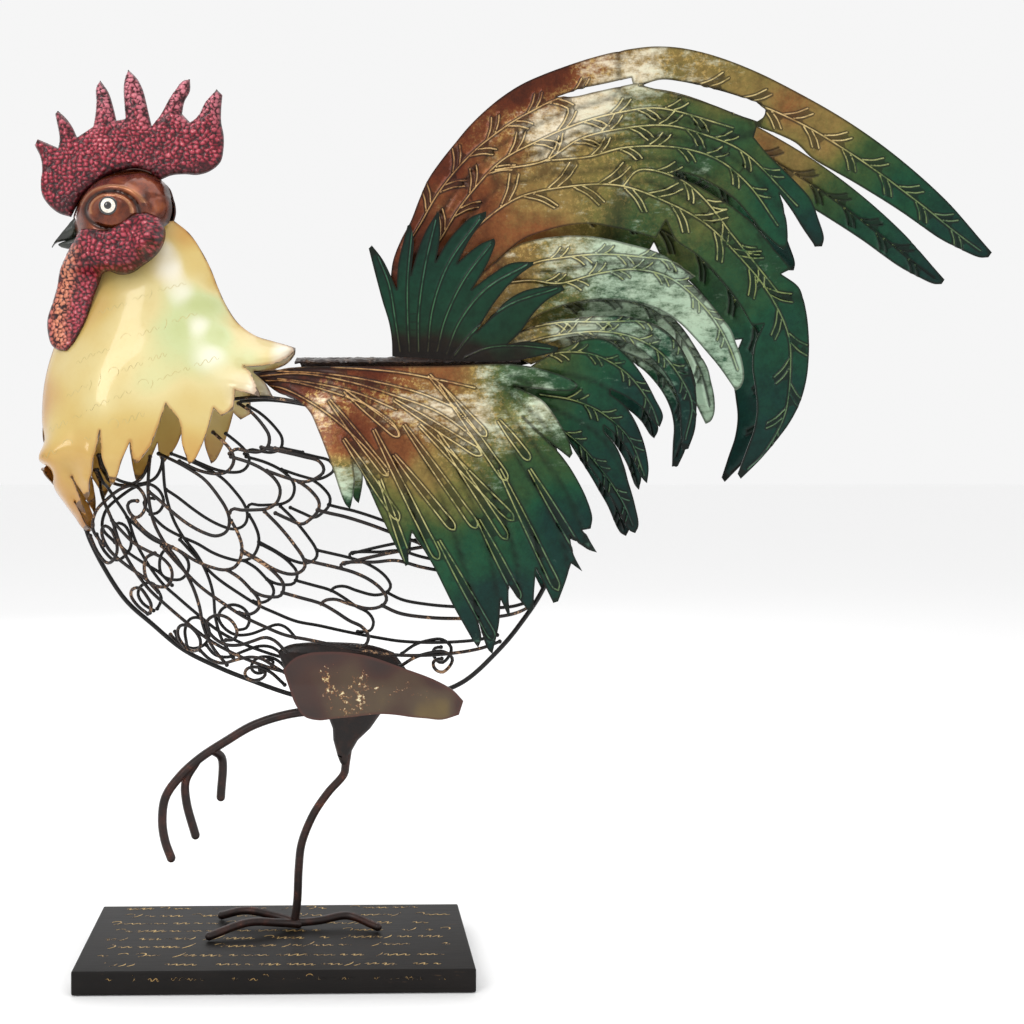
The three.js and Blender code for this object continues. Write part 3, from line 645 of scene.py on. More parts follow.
def feather_finish(name, tones=TONES, pearl_and_sheen_colours=PEARL_AND_SHEEN_COLOURS, crests=CRESTS):
    """Sprayed and rubbed paint over pressed feathers, under lacquer, with painted highlights and painted
    shade.
    """
    f = Finish(name)
    tone, pearl = f.attribute("tone"), f.attribute("pearl")
    vein, rim = f.attribute("vein"), f.attribute("rim")
    clouds = f.noise(0.022, detail=6, rough=0.65) - 0.5
    specks = f.noise(0.0016, detail=3, rough=0.7) - 0.5
    colour = f.ramp(tone + clouds * 0.16 + specks * 0.1, tones)
    mottled = f.noise(0.007, detail=5, rough=0.7)
    colour = f.mix(mottled.step(0.35, 0.7) * 0.35, colour, rgb("241a10"), "MULTIPLY")
    flakes = f.noise(0.0028, detail=4, rough=0.75)
    near_pearl = (pearl + clouds * 0.5).step(0.12, 0.5)
    colour = f.mix(near_pearl * flakes.step(0.5, 0.62) * tone.step(0.62, 0.3) * 0.6, colour, rgb("c9a862"))
    streaks = f.noise(0.006, detail=5, rough=0.7, stretch=(0.5, 1, 1.3)) - 0.5
    # Pearl patches: partly pearl paint, partly a painted highlight.
    shine = (pearl * 0.85 + clouds * 1.1 + streaks * 1.3 + specks * 0.35).step(0.38, 0.95)
    colour = f.mix(shine * 0.9, colour, f.ramp(tone + streaks * 0.4, pearl_and_sheen_colours))
    # Painted shade in the valleys between the feathers.
    valley = f.attribute("valley")
    colour = f.mix(valley * (0.75 + clouds) * 0.8, colour, rgb("0d0d08"))
    # Painted shade in the grooves on both sides of each vein.
    groove = vein.step(1.9, 0.8) * (1 - vein.step(0.6, 0.25))
    colour = f.mix(groove * 0.75, colour, rgb("0b0805"))
    # Vein crests: partly rubbed gold, partly a painted highlight.
    crest = vein.step(0.6, 0.2) * (mottled + clouds * 0.5).step(0.3, 0.6)
    colour = f.mix(crest * 0.85, colour, f.ramp(tone, crests))
    edge = rim.step(1.7, 0.4)
    colour = f.mix(edge * 0.7, colour, rgb("120d08"))
    rough = 0.32 + flakes * 0.16 - shine * 0.06
    metal = 0.6 - shine * 0.35
    grain = f.noise(0.0012, detail=2)
    return f.done(
        Base_Color=colour,
        Metallic=metal,
        Roughness=rough,
        Specular_IOR_Level=0.25,
        Coat_Weight=0.16,
        Coat_Roughness=0.14,
        Normal=f.bump(grain + mottled * 0.6, 0.00012, 0.6),
    )


feather_paint = feather_finish("feather_paint")
print("feather paint nodes:", len(feather_paint.node_tree.nodes))

# %% [markdown]
# The other finishes follow the same pattern, each mixed for its own piece.
# The inner side of every sheet got one dark coat.

# %% Paint inside the sheets
def plain_inside(name, colour, worn):
    """The unseen side of a sheet: one coat of dark paint, streaked and dusty."""
    f = Finish(name)
    clouds = f.noise(0.02, detail=5, rough=0.65)
    scratches = f.noise(0.003, detail=3, stretch=(0.3, 1, 1))
    colour = f.mix(clouds.step(0.4, 0.7) * 0.6, colour, worn)
    return f.done(
        Base_Color=colour,
        Metallic=0.3,
        Roughness=0.5 + clouds * 0.15,
        Normal=f.bump(scratches, 0.0002, 0.4),
    )


tail_inside = plain_inside("tail_inside", rgb("0f2b2c"), rgb("1f4240"))
wing_inside = plain_inside("wing_inside", rgb("150d0a"), rgb("241612"))
shell_inside = plain_inside("shell_inside", rgb("160c09"), rgb("24140e"))
tuft_tones = [
    (0.0, rgb("120906")),
    (0.3, rgb("1c160c")),
    (0.55, rgb("14301d")),
    (0.78, rgb("0f3a28")),
    (1.0, rgb("09241f")),
]
tuft_crests = [(0.0, rgb("3a2a18")), (0.7, rgb("3c6a45")), (1.0, rgb("35604f"))]
tuft_paint = feather_finish("tuft_paint", tones=tuft_tones, crests=tuft_crests)

# %% Paint of the neck
f = Finish("neck_paint")
tone, pearl, rim = f.attribute("tone"), f.attribute("pearl"), f.attribute("rim")
clouds = f.noise(0.03, detail=4, rough=0.5) - 0.5
fine = f.noise(0.004, detail=5, rough=0.7)
cream = [
    (0.0, rgb("9c6526")),
    (0.18, rgb("bf9248")),
    (0.38, rgb("cdb26a")),
    (0.58, rgb("d6c68c")),
    (0.78, rgb("c4cb94")),
    (1.0, rgb("a5b066")),
]
colour = f.ramp(tone + clouds * 0.22, cream)
colour = f.mix(fine.step(0.5, 0.8) * 0.12, colour, rgb("b9934f"))
# Painted highlight: near white in a band down the neck.
colour = f.mix((pearl + clouds * 0.2).step(0.4, 0.95) * 0.8, colour, rgb("f4efe2"))
edge = (rim + clouds * 3).step(2.4, 0.2)
colour = f.mix(edge * 0.55, colour, rgb("a2672a"))
chipped = (rim + (fine - 0.5) * 3).step(0.5, 0.1)
colour = f.mix(chipped * 0.8, colour, rgb("3a2412"))
neck_paint = f.done(
    Base_Color=colour,
    Metallic=0.05,
    Roughness=0.26 + fine * 0.08,
    Specular_IOR_Level=0.3,
    Coat_Weight=0.5,
    Coat_Roughness=0.06,
    Normal=f.bump(f.noise(0.012, detail=3), 0.0006, 0.25),
)

# %% Paint of the head, eyes and beak
f = Finish("head_paint")
groove_and_jaw_shade, lid_and_brow_highlight, rim = f.attribute("tone"), f.attribute("pearl"), f.attribute("rim")
clouds = f.noise(0.012, detail=5, rough=0.6)
copper = f.ramp(clouds, [(0.3, rgb("3c170a")), (0.5, rgb("6d2f14")), (0.7, rgb("8f4a22"))])
# Painted highlight on the lid and the brow.
copper = f.mix(lid_and_brow_highlight.step(0.25, 1.0) * 0.5, copper, rgb("c98f62"))
# Painted shade in the groove round the eye socket and along the jaw crease.
copper = f.mix(groove_and_jaw_shade.step(0.2, 0.9) * 0.85, copper, rgb("120604"))
copper = f.mix(rim.step(2.2, 0.3) * 0.8, copper, rgb("180a06"))
head_paint = f.done(
    Base_Color=copper,
    Metallic=0.6,
    Roughness=0.22 + clouds * 0.12,
    Coat_Weight=0.4,
    Coat_Roughness=0.06,
    Normal=f.bump(f.noise(0.003, detail=3), 0.0002, 0.3),
)

f = Finish("eye_white_paint")
crazing = f.noise(0.0012, detail=3)
white = f.ramp(crazing, [(0.3, rgb("d9cdbb")), (0.6, rgb("f6f1e6"))])
eye_white_paint = f.done(
    Base_Color=white, Roughness=0.22 + crazing * 0.1, Coat_Weight=0.7, Coat_Roughness=0.05
)

f = Finish("pupil_paint")
depth = f.noise(0.001, detail=2)
black = f.ramp(depth, [(0.3, rgb("050404")), (0.8, rgb("120c09"))])
pupil_paint = f.done(Base_Color=black, Roughness=0.12 + depth * 0.05, Coat_Weight=1.0, Coat_Roughness=0.03)

f = Finish("beak_paint")
grain = f.noise(0.006, detail=5, rough=0.6, stretch=(0.4, 1, 1))
horn = f.ramp(grain, [(0.3, rgb("0b0e0a")), (0.55, rgb("1d241a")), (0.75, rgb("4b4a35"))])
beak_paint = f.done(
    Base_Color=horn,
    Metallic=0.2,
    Roughness=0.28 + grain * 0.15,
    Coat_Weight=0.6,
    Coat_Roughness=0.1,
    Normal=f.bump(grain, 0.0003, 0.4),
)


# %% Paint of the comb and wattles
def pebbled_finish(name, warm):
    """Crimson over the pebbles, with painted shade of dark wine in the hollows and a painted highlight of
    pink on their tops.
    """
    f = Finish(name)
    bump, tone, rim, low = (f.attribute(word) for word in ("bump", "tone", "rim", "low"))
    clouds = f.noise(0.014, detail=4, rough=0.6)
    specks = f.noise(0.0011, detail=2, rough=0.8)
    # Painted shade and highlight: dark in the hollows, pink on the pebble tops.
    height = bump * 0.72 + (clouds - 0.5) * 0.45 + (specks - 0.5) * 0.16
    reds = [
        (0.05, rgb("1d0407")),
        (0.28, rgb("4d0b16")),
        (0.5, rgb("861b2b")),
        (0.7, rgb("b04252")),
        (0.88, rgb("dc9a9a")),
    ]
    colour = f.ramp(height, reds)
    colour = f.mix(tone * bump.step(0.2, 0.8) * 0.7, colour, warm)
    # Darker where low is set: on the comb this is painted shade along its foot; on the wattle it runs darker
    # towards its lower back.
    colour = f.mix(low * 0.7, colour, rgb("2b050b"))
    colour = f.mix(rim.step(2.6, 0.4) * 0.65, colour, rgb("260409"))
    # Painted highlights: pale glints on the pebble tops.
    glints = (specks + bump * 0.2).step(0.86, 0.92)
    colour = f.mix(glints * 0.8, colour, rgb("ffe9e4"))
    return f.done(
        Base_Color=colour,
        Metallic=0.35,
        Roughness=0.28 + clouds * 0.15,
        Specular_IOR_Level=0.35,
        Coat_Weight=0.3,
        Coat_Roughness=0.1,
        Normal=f.bump(specks, 0.0003, 0.7),
    )


comb_paint = pebbled_finish("comb_paint", rgb("d98a96"))
wattle_paint = pebbled_finish("wattle_paint", rgb("e59a70"))


# %% Paint of the rods and wires
def rod_finish(name, dark, brown, rubbed, wear):
    """Dark brown paint, rubbed through to bronze here and there."""
    f = Finish(name)
    clouds = f.noise(0.012, detail=5, rough=0.65)
    grit = f.noise(0.0016, detail=4, rough=0.7)
    colour = f.mix(clouds.step(0.42, 0.66), dark, brown)
    worn = (clouds * 0.6 + grit * 0.5).step(0.66 - wear, 0.74 - wear)
    colour = f.mix(worn, colour, rubbed)
    return f.done(
        Base_Color=colour,
        Metallic=0.55,
        Roughness=0.4 + grit * 0.18,
        Coat_Weight=0.25,
        Coat_Roughness=0.25,
        Normal=f.bump(grit, 0.0004, 0.6),
    )


rod_paint = rod_finish("rod_paint", rgb("1d0f0b"), rgb("3a1d14"), rgb("6b3a28"), 0.02)
# The near cage wires get more bronze and the far ones a darker copy of the same paint: painted shade on the
# far side of the cage.  The keel is dark wire and takes the dark copy as its own colour.
wire_paint = rod_finish("wire_paint", rgb("120c0a"), rgb("2a1a14"), rgb("b08a68"), 0.06)
dark_and_shaded_wire_paint = rod_finish("dark_and_shaded_wire_paint", rgb("0a0807"), rgb("15100e"), rgb("3a2a20"), -0.02)
drumstick_paint = rod_finish("drumstick_paint", rgb("140b08"), rgb("2a160e"), rgb("4a2a1a"), -0.02)

# %% Paint of the thigh, back and board
f = Finish("thigh_paint")
tone, pearl, rim = f.attribute("tone"), f.attribute("pearl"), f.attribute("rim")
clouds = f.noise(0.02, detail=4, rough=0.6) - 0.5
chips = f.noise(0.008, detail=9, rough=0.74)
browns = [(0.0, rgb("24100a")), (0.3, rgb("3a1c0e")), (0.6, rgb("4c3a24")), (0.9, rgb("6e5a2a"))]
colour = f.ramp(tone + clouds * 0.3, browns)
flaked = (chips + (pearl - 1) * 0.2).step(0.515, 0.53)
rust_ring = (chips + (pearl - 1) * 0.2).step(0.49, 0.505) * (1 - flaked)
colour = f.mix(rust_ring * 0.5, colour, rgb("a85a1c"))
colour = f.mix(flaked * 0.92, colour, f.ramp(chips, [(0.5, rgb("d9b45e")), (0.62, rgb("f1e5bd"))]))
colour = f.mix((rim + clouds * 2).step(2.4, 0.4) * 0.6, colour, rgb("4a1a0b"))
thigh_paint = f.done(
    Base_Color=colour,
    Metallic=0.3,
    Roughness=0.34 + chips * 0.2,
    Coat_Weight=0.4,
    Coat_Roughness=0.15,
    Normal=f.bump(flaked + chips * 0.5, 0.0003, 0.7),
)

f = Finish("back_paint")
clouds = f.noise(0.007, detail=6, rough=0.7)
colour = f.ramp(clouds, [(0.35, rgb("0d0908")), (0.55, rgb("2c1a12")), (0.75, rgb("6e5238"))])
back_paint = f.done(
    Base_Color=colour,
    Metallic=0.6,
    Roughness=0.35 + clouds * 0.25,
    Normal=f.bump(clouds, 0.0008, 0.8),
)

f = Finish("board_paint")
clouds = f.noise(0.04, detail=6, rough=0.65)
grain = f.noise(0.003, detail=5, rough=0.7, stretch=(0.12, 1, 1))
blacks = [(0.3, rgb("0b0908")), (0.6, rgb("171311")), (0.85, rgb("2b211a"))]
colour = f.ramp(clouds * 0.7 + grain * 0.3, blacks)
worn = (grain + clouds * 0.4).step(0.86, 0.92)
colour = f.mix(worn * 0.5, colour, rgb("4a3826"))
board_paint = f.done(
    Base_Color=colour,
    Specular_IOR_Level=0.2,
    Roughness=0.5 + grain * 0.15,
    Normal=f.bump(grain, 0.0003, 0.4),
)


def ink_finish(name, bright, dim, thin):
    """Ink that has worn thin in places."""
    f = Finish(name)
    clouds = f.noise(0.009, detail=4, rough=0.7)
    colour = f.mix(clouds.step(0.38, 0.62), dim, bright)
    cover = clouds.step(thin - 0.06, thin + 0.06)
    return f.done(Base_Color=colour, Roughness=0.5 + clouds * 0.1, Alpha=cover)


gold_ink = ink_finish("gold_ink", rgb("c9a766"), rgb("6a4f2c"), 0.42)
worn_ink = ink_finish("worn_ink", rgb("a5834a"), rgb("3a2b18"), 0.56)
faded_ink = ink_finish("faded_ink", rgb("b3a468"), rgb("cbb981"), 0.4)

# %% [markdown]
# ## Tail
#
# Four plates a side, laid over each other like shingles.  Each carries long
# pressed spines, and from each spine short barbs run out in pairs, like the
# bones of a fish.  Only the spines are drawn; a loop sets the barbs along
# them at a steady angle.

# %% Barbs along a spine
def barbs(spine, gap, length, angle, sides=(1, -1), start=0.12, stop=0.94, paired=6.0, taper=0.45):
    """Short pressed bars in pairs along a spine, alternating from side to side."""
    line = even(spline(spine, 2.0), 1.0)
    run = np.gradient(line, axis=0)
    run /= np.linalg.norm(run, axis=1)[:, None]
    bars = []
    count = int((stop - start) * len(line) / gap)
    for k in range(count):
        side = sides[k % len(sides)]
        for twin in (0, paired):
            at = int(start * len(line) + (k + 0.5) * gap + twin)
            if at >= len(line) - 2:
                continue
            share = at / len(line)
            turn = side * math.radians(angle)
            ahead = run[at]
            way = np.array(
                [
                    ahead[0] * math.cos(turn) - ahead[1] * math.sin(turn),
                    ahead[0] * math.sin(turn) + ahead[1] * math.cos(turn),
                ]
            )
            reach = length * (1 - taper * share) * (0.85 if twin else 1.0)
            bow = np.array([-way[1], way[0]]) * side * 0.06 * reach
            root = line[at] + way * 1.5
            bars.append([root, root + way * reach * 0.5 - bow, root + way * reach])
    return bars


# %% The main plate
# Each spine is its points, then the gap between its barbs, their length and their angle in degrees.
TAIL_MAIN_SPINES = [
    ([(75, 471), (84, 485), (97, 507), (117, 530), (139, 547), (155, 556), (170, 563),
      (198, 571)], 15, 17, 42),
    (
        [(75, 445), (98, 477), (112, 499), (136, 525), (161, 538), (186, 548), (211, 554),
         (235, 556), (281, 543)],
        17,
        17,
        38,
    ),
    ([(133, 520), (164, 525), (186, 538), (214, 544), (241, 545), (263, 539), (287, 528),
      (321, 494)], 18, 15, 40),
    ([(164, 525), (192, 527), (214, 532), (248, 531), (272, 523), (291, 507), (309, 482)], 18, 13, 42),
    (
        [(98, 461), (128, 490), (149, 503), (180, 509), (211, 509), (239, 499), (264, 485), (280, 470)]
        + [(304, 441), (317, 414), (319, 395), (316, 363), (303, 338), (294, 329)],
        16,
        22,
        40,
    ),
    ([(214, 509), (223, 518), (248, 512), (264, 499), (282, 476), (298, 456), (309, 442)], 18, 12, 40),
    ([(223, 571), (254, 571), (284, 562), (321, 546), (358, 523), (394, 496), (421, 474),
      (433, 465)], 14, 17, 38),
]


def veined(spines):
    """The spines with their barbs, as one list of veins."""
    veins = []
    for spine, gap, length, angle in spines:
        veins.append(spine)
        veins += barbs(spine, gap, length, angle)
    return veins


TAIL_MAIN_SPOTS = [
    (72, 471, 0.1, 0), (98, 528, 0.08, 0.1), (117, 546, 0.12, 0.25), (148, 571, 0.04, 0),
    (173, 582, 0.06, 0.05), (192, 587, 0.2, 0.7), (223, 581, 0.3, 0.9), (260, 573, 0.32, 0.6),
    (284, 563, 0.3, 0.2), (315, 553, 0.24, 0.05), (339, 534, 0.3, 0), (358, 519, 0.58, 0.05),
    (382, 497, 0.72, 0), (418, 474, 0.78, 0), (436, 464, 0.85, 0), (117, 502, 0.13, 0.15),
    (136, 526, 0.22, 0.25), (164, 545, 0.3, 0.95), (198, 559, 0.35, 1), (223, 562, 0.45, 0.6),
    (254, 551, 0.56, 0.1), (284, 541, 0.64, 0), (315, 504, 0.75, 0.1), (334, 479, 0.85, 0),
    (161, 507, 0.3, 0.3), (199, 513, 0.38, 0.35), (229, 543, 0.5, 0.3), (260, 529, 0.62, 0.35),
    (162, 479, 0.2, 0), (224, 483, 0.55, 0.35), (261, 499, 0.5, 0.25), (298, 448, 0.65, 0.35),
    (317, 417, 0.75, 0.15), (312, 373, 0.8, 0.05), (288, 329, 0.88, 0.1),
]

# %% The three smaller tail plates
TAIL_PLATES = {
    "tail_main": {
        "spines": TAIL_MAIN_SPINES,
        "spots": TAIL_MAIN_SPOTS,
        "bend": {"droop": 0.016, "back": 3, "root": (90, 410)},
    },
    "tail_middle": {
        "spines": [
            (
                [(146, 454), (158, 461), (174, 464), (199, 466), (224, 464), (246, 460), (264, 446)]
                + [(277, 430)],
                14,
                9,
                40,
            ),
            (
                [(136, 448), (155, 450), (174, 448), (199, 454), (224, 456), (246, 449), (269, 427)]
                + [(280, 408), (286, 392)],
                14,
                10,
                40,
            ),
        ],
        "spots": [
            (136, 457, 0.2, 0.3), (149, 466, 0.3, 0.5), (174, 472, 0.42, 0.8),
            (212, 468, 0.6, 0.95), (249, 458, 0.65, 0.9), (274, 436, 0.65, 1),
            (286, 404, 0.7, 0.9), (174, 444, 0.5, 0.5), (212, 443, 0.65, 0.7),
            (149, 441, 0.3, 0.3),
        ],
        "bend": {"droop": 0.12, "root": (120, 410)},
    },
    "tail_inner": {
        "spines": [
            (
                [(136, 412), (149, 418), (174, 423), (199, 423), (231, 422), (246, 412), (256, 395)]
                + [(260, 383)],
                13,
                7,
                40,
            ),
            (
                [(149, 409), (168, 414), (200, 417), (221, 413), (237, 404), (251, 387), (258, 370)]
                + [(254, 348)],
                13,
                9,
                42,
            ),
        ],
        "spots": [
            (149, 415, 0.35, 0.5), (187, 426, 0.5, 1), (224, 421, 0.6, 0.95),
            (250, 398, 0.72, 0.7), (262, 373, 0.85, 0.4), (256, 341, 0.9, 0.3),
            (267, 392, 0.9, 0.1), (224, 433, 0.9, 0.1),
        ],
        "bend": {"droop": 0.1, "back": 12, "root": (140, 405)},
    },
    "tail_lower": {
        "spines": [
            ([(136, 393), (155, 400), (181, 404), (199, 401), (218, 389), (232, 370), (237, 357)], 12, 9, 40),
            ([(162, 377), (184, 373), (203, 364), (219, 348), (228, 325)], 12, 10, 42),
            ([(165, 361), (184, 348), (200, 330), (214, 309), (221, 293)], 12, 9, 40),
        ],
        "spots": [
            (149, 406, 0.4, 0.3), (174, 409, 0.5, 0.4), (199, 405, 0.7, 0.35),
            (225, 373, 0.8, 0.2), (234, 354, 0.9, 0.1), (175, 380, 0.6, 0.2),
            (200, 367, 0.75, 0.25), (212, 328, 0.8, 0.1), (222, 297, 0.92, 0.1),
        ],
        "bend": {"droop": 0.075, "back": 10, "root": (150, 390)},
    },
}

for plate, design in TAIL_PLATES.items():
    ribs = [spine[0] for spine in design["spines"]]
    pattern = spray(cut_plate(f"{plate}_near", veined(design["spines"]), ribs, grain=2.6), design["spots"])
    press(plate, "pressed", [feather_paint, tail_inside], pattern, far_bend=design["bend"])

# %% [markdown]
# ## Wing
#
# The wing is one plate with its feathers cut into the rim.  The maker pressed
# long hairpins into it, each a narrow loop from the shoulder to the middle of
# a feather, and a few single lines along the top.  A hairpin is easier to
# describe than to draw: a root, a rounded end and a width.  Each feather has a
# middle line too, and the sheet sinks into a valley halfway between two.

# %% Hairpins on the wing
def hairpin(root, end, half_width=2.4):
    """A narrow loop that runs out from the root, round the end and back."""
    root, end = np.array(root, float), np.array(end, float)
    way = end - root
    length = np.linalg.norm(way)
    way = way / length
    across = np.array([-way[1], way[0]]) * half_width
    turn = half_width * 1.2
    stations = [(0, 0.35), (0.35, 0.8), (0.75, 1), ((length - turn) / length, 0.95), (0.985, 0.45)]
    out = [root + way * length * t + across * w for t, w in stations]
    back = [root + way * length * t - across * w for t, w in reversed(stations)]
    return [*out, end, *back]


HAIRPINS = [
    ((37, 379), (72, 350)),
    ((27, 373), (65, 325)),
    ((69, 373), (124, 338)),
    ((98, 383), (140, 322)),
    ((91, 389), (127, 350)),
    ((75, 357), (121, 292)),
    ((85, 357), (144, 297)),
    ((97, 351), (140, 285)),
    ((69, 338), (107, 291)),
    ((56, 354), (97, 272)),
    ((37, 348), (72, 297)),
    ((135, 360), (154, 335)),
    ((60, 322), (91, 233)),
    ((97, 284), (132, 221)),
    ((122, 297), (148, 247)),
    ((135, 329), (172, 253)),
    ((154, 329), (188, 272)),
]
WING_LINES = [
    [(-20, 393), (7, 395), (40, 394), (72, 391), (98, 386), (120, 381)],
    [(-20, 390), (7, 391), (40, 385), (69, 376), (97, 365), (119, 348), (124, 338)],
    [(-19, 387), (0, 386), (27, 379), (53, 369), (69, 357), (72, 350)],
    [(-16, 384), (-3, 381), (21, 368), (40, 353), (56, 337), (65, 325)],
    [(-8, 393), (20, 391), (52, 386), (84, 378), (108, 368)],
    [(-8, 388), (14, 385), (44, 378), (70, 367)],
]
WING_SPOTS = [
    (-27, 394, 0.02, 0), (14, 397, 0.03, 0), (53, 391, 0.06, 0), (98, 389, 0.2, 0.1),
    (0, 388, 0.05, 0), (21, 373, 0.16, 0.7), (72, 370, 0.25, 0.8), (50, 379, 0.14, 0.5),
    (98, 366, 0.28, 0.85), (116, 360, 0.3, 0.8), (135, 348, 0.42, 0.5), (72, 341, 0.16, 0.1),
    (91, 322, 0.32, 0.25), (53, 354, 0.1, 0.05), (40, 348, 0.12, 0.15), (104, 310, 0.45, 0.25),
    (147, 329, 0.6, 0.1), (172, 297, 0.82, 0), (122, 278, 0.7, 0.05), (91, 272, 0.68, 0),
    (135, 247, 0.86, 0), (129, 221, 0.88, 0.3), (191, 285, 0.86, 0.4), (39, 322, 0.5, 0.95),
    (43, 308, 0.7, 0.3), (165, 371, 0.45, 0.9), (179, 348, 0.6, 0.6), (150, 386, 0.6, 0.45),
    (174, 384, 0.7, 0.4), (72, 297, 0.5, 0.05), (75, 275, 0.72, 0),
]

WING_FEATHERS = [
    [(20, 370), (34, 340), (42, 310)],
    [(40, 375), (62, 330), (78, 272)],
    [(55, 378), (85, 320), (105, 262), (121, 220)],
    [(70, 380), (105, 320), (124, 262), (132, 216)],
    [(82, 382), (118, 325), (136, 280), (142, 240)],
    [(95, 384), (132, 325), (150, 285), (156, 244)],
    [(105, 386), (145, 325), (165, 285), (173, 250)],
    [(115, 388), (155, 335), (178, 300), (188, 266)],
    [(125, 390), (165, 345), (185, 310), (195, 280)],
    [(130, 392), (165, 365), (180, 340)],
    [(130, 394), (160, 390), (184, 382)],
]
wing_veins = WING_LINES + [hairpin(*pin) for pin in HAIRPINS]
wing_pattern = spray(cut_plate("wing_near", wing_veins, WING_FEATHERS, grain=2.6), WING_SPOTS)
flat = wing_pattern["flat"]
wing_pattern["valley"] *= np.maximum(smoothstep(375, 310, flat[:, 1]), smoothstep(125, 145, flat[:, 0]))
press("wing", "pressed", [feather_paint, wing_inside], wing_pattern, height=0.7)

# %% [markdown]
# ## Tuft
#
# A fan of dark green blades covers the root of the tail.  Each blade has one
# thin raised midrib.

# %% Blades of the tuft
TUFT_RIBS = [
    [(72, 405), (69, 425), (65, 448), (58, 466)],
    [(78, 405), (77, 425), (77, 451), (80, 482)],
    [(84, 405), (84, 428), (88, 458), (95, 488)],
    [(90, 405), (93, 432), (103, 460), (123, 488)],
    [(96, 405), (101, 425), (113, 450), (130, 472)],
    [(102, 403), (110, 423), (127, 444), (153, 459)],
    [(107, 402), (120, 418), (142, 434), (172, 444)],
    [(114, 401), (129, 407), (148, 408), (168, 406)],
]
TUFT_SPOTS = [
    (70, 403, 0.0, 0), (95, 403, 0.02, 0), (120, 402, 0.1, 0), (150, 401, 0.3, 0),
    (66, 430, 0.8, 0), (85, 430, 0.72, 0), (105, 430, 0.74, 0), (125, 418, 0.76, 0),
    (55, 465, 0.93, 0), (80, 480, 0.95, 0.05), (95, 488, 0.92, 0.1), (123, 488, 0.86, 0.25),
    (130, 472, 0.82, 0.15), (152, 458, 0.78, 0.1), (172, 444, 0.74, 0.15), (168, 406, 0.66, 0.05),
    (140, 425, 0.7, 0), (90, 455, 0.85, 0),
]
tuft_pattern = spray(cut_plate("tuft_near", TUFT_RIBS, grain=3.0), TUFT_SPOTS)
press("tuft", "pressed", [tuft_paint, tail_inside], tuft_pattern, height=0.6)

# %% [markdown]
# ## Neck
#
# Two pressed half shells meet along the throat and the nape, where they are
# soldered.  The frame leaves a small gap there, so the heights near the
# profile are squeezed shut.  The shells are glossy cream that darkens to
# honey at the rims, with a cool tint over the shoulder and a painted
# highlight of near white in one band.

# %% Neck shells
SEAM_GAP = 2.8


def close_seam(heights, pattern=None):
    """Heights near the middle plane squeezed down so that the two halves meet."""
    return heights - SEAM_GAP * (1 - smoothstep(3, 10, heights))


NECK_SPOTS = [
    (-131, 487, 0.2, 0), (-100, 480, 0.3, 0), (-151, 436, 0.12, 0), (-170, 372, 0.1, 0),
    (-165, 322, 0.08, 0), (-139, 286, 0.05, 0), (-150, 300, 0.1, 0), (-130, 440, 0.3, 0),
    (-140, 400, 0.5, 0), (-110, 420, 0.5, 0), (-95, 440, 0.52, 0.1), (-120, 380, 0.56, 0),
    (-150, 360, 0.4, 0), (-105, 350, 0.36, 0), (-118, 322, 0.26, 0), (-85, 390, 0.66, 0),
    (-75, 420, 0.85, 0.15), (-66, 440, 0.9, 0.3), (-78, 462, 0.6, 1), (-70, 445, 0.7, 1),
    (-60, 424, 0.8, 1), (-50, 405, 0.8, 0.9), (-42, 392, 0.6, 0.5), (-84, 476, 0.5, 0.9),
    (-56, 440, 0.95, 0), (-46, 418, 0.98, 0), (-66, 465, 0.35, 0), (-74, 484, 0.15, 0),
    (-52, 452, 0.25, 0), (-36, 425, 0.3, 0), (-20, 415, 0.36, 0), (-26, 404, 0.8, 0),
    (-8, 410, 0.55, 0.9), (-2, 405, 0.3, 0.9), (-62, 370, 0.45, 0), (-64, 340, 0.22, 0),
    (-95, 340, 0.25, 0), (-30, 385, 0.5, 0.6), (-20, 379, 0.5, 1), (-140, 330, 0.25, 0),
]
neck_pattern = spray(cut_plate("neck_near", [], grain=3.0, rim_step=2.0), NECK_SPOTS, softness=8)
press("neck", "shell", [neck_paint, shell_inside], neck_pattern, adjust=close_seam)

# %% [markdown]
# Rows of pen strokes run over the neck and the board.  They are only strokes:
# seeded random waves, ticks and arcs that spell nothing.  Each stroke is a
# ribbon that is broad where the pen goes down and fine where it goes up, with
# just enough thickness to be a solid.

# %% Pen strokes that spell nothing
def pen_strokes(rng, start, end, size, slant=0.5):
    """Wavy strokes, ticks and arcs in a row from start to end, as lists of flat points."""
    start, end = np.array(start, float), np.array(end, float)
    way = (end - start) / np.linalg.norm(end - start)
    up = np.array([-way[1], way[0]])
    along, strokes = 0.0, []
    while along < np.linalg.norm(end - start):
        kind = rng.choice(["wave", "wave", "wave", "tick", "arc", "gap"])
        run = rng.uniform(0.5, 2.6) * size
        if kind == "wave":
            humps = max(1, round(run / size * 1.7))
            t = np.linspace(0, 1, 7 * humps + 1)
            lift = 0.2 + 0.16 * np.sin(t * 2 * math.pi * humps) * rng.uniform(0.7, 1.5)
            lift = lift + rng.uniform(-0.1, 0.1) * t
            move = t * run
        elif kind == "tick":
            t = np.linspace(0, 1, 6)
            tall = rng.uniform(0.5, 1.1)
            lift, move = tall * t - 0.15, 0.15 * size * np.sin(t * 3)
            run = 0.3 * size
        elif kind == "arc":
            t = np.linspace(0, 1, 13)
            turn = rng.uniform(2.2, 4.2)
            lift = 0.35 + 0.4 * np.sin(t * turn + 0.4)
            move = (0.5 - 0.45 * np.cos(t * turn)) * size
            run = 0.9 * size
        else:
            along += run * 0.6
            continue
        flat = [start + way * (along + m + slant * h * size) + up * h * size for m, h in zip(move, lift)]
        strokes.append(np.array(flat))
        along += run + rng.uniform(0.15, 0.5) * size
    return strokes


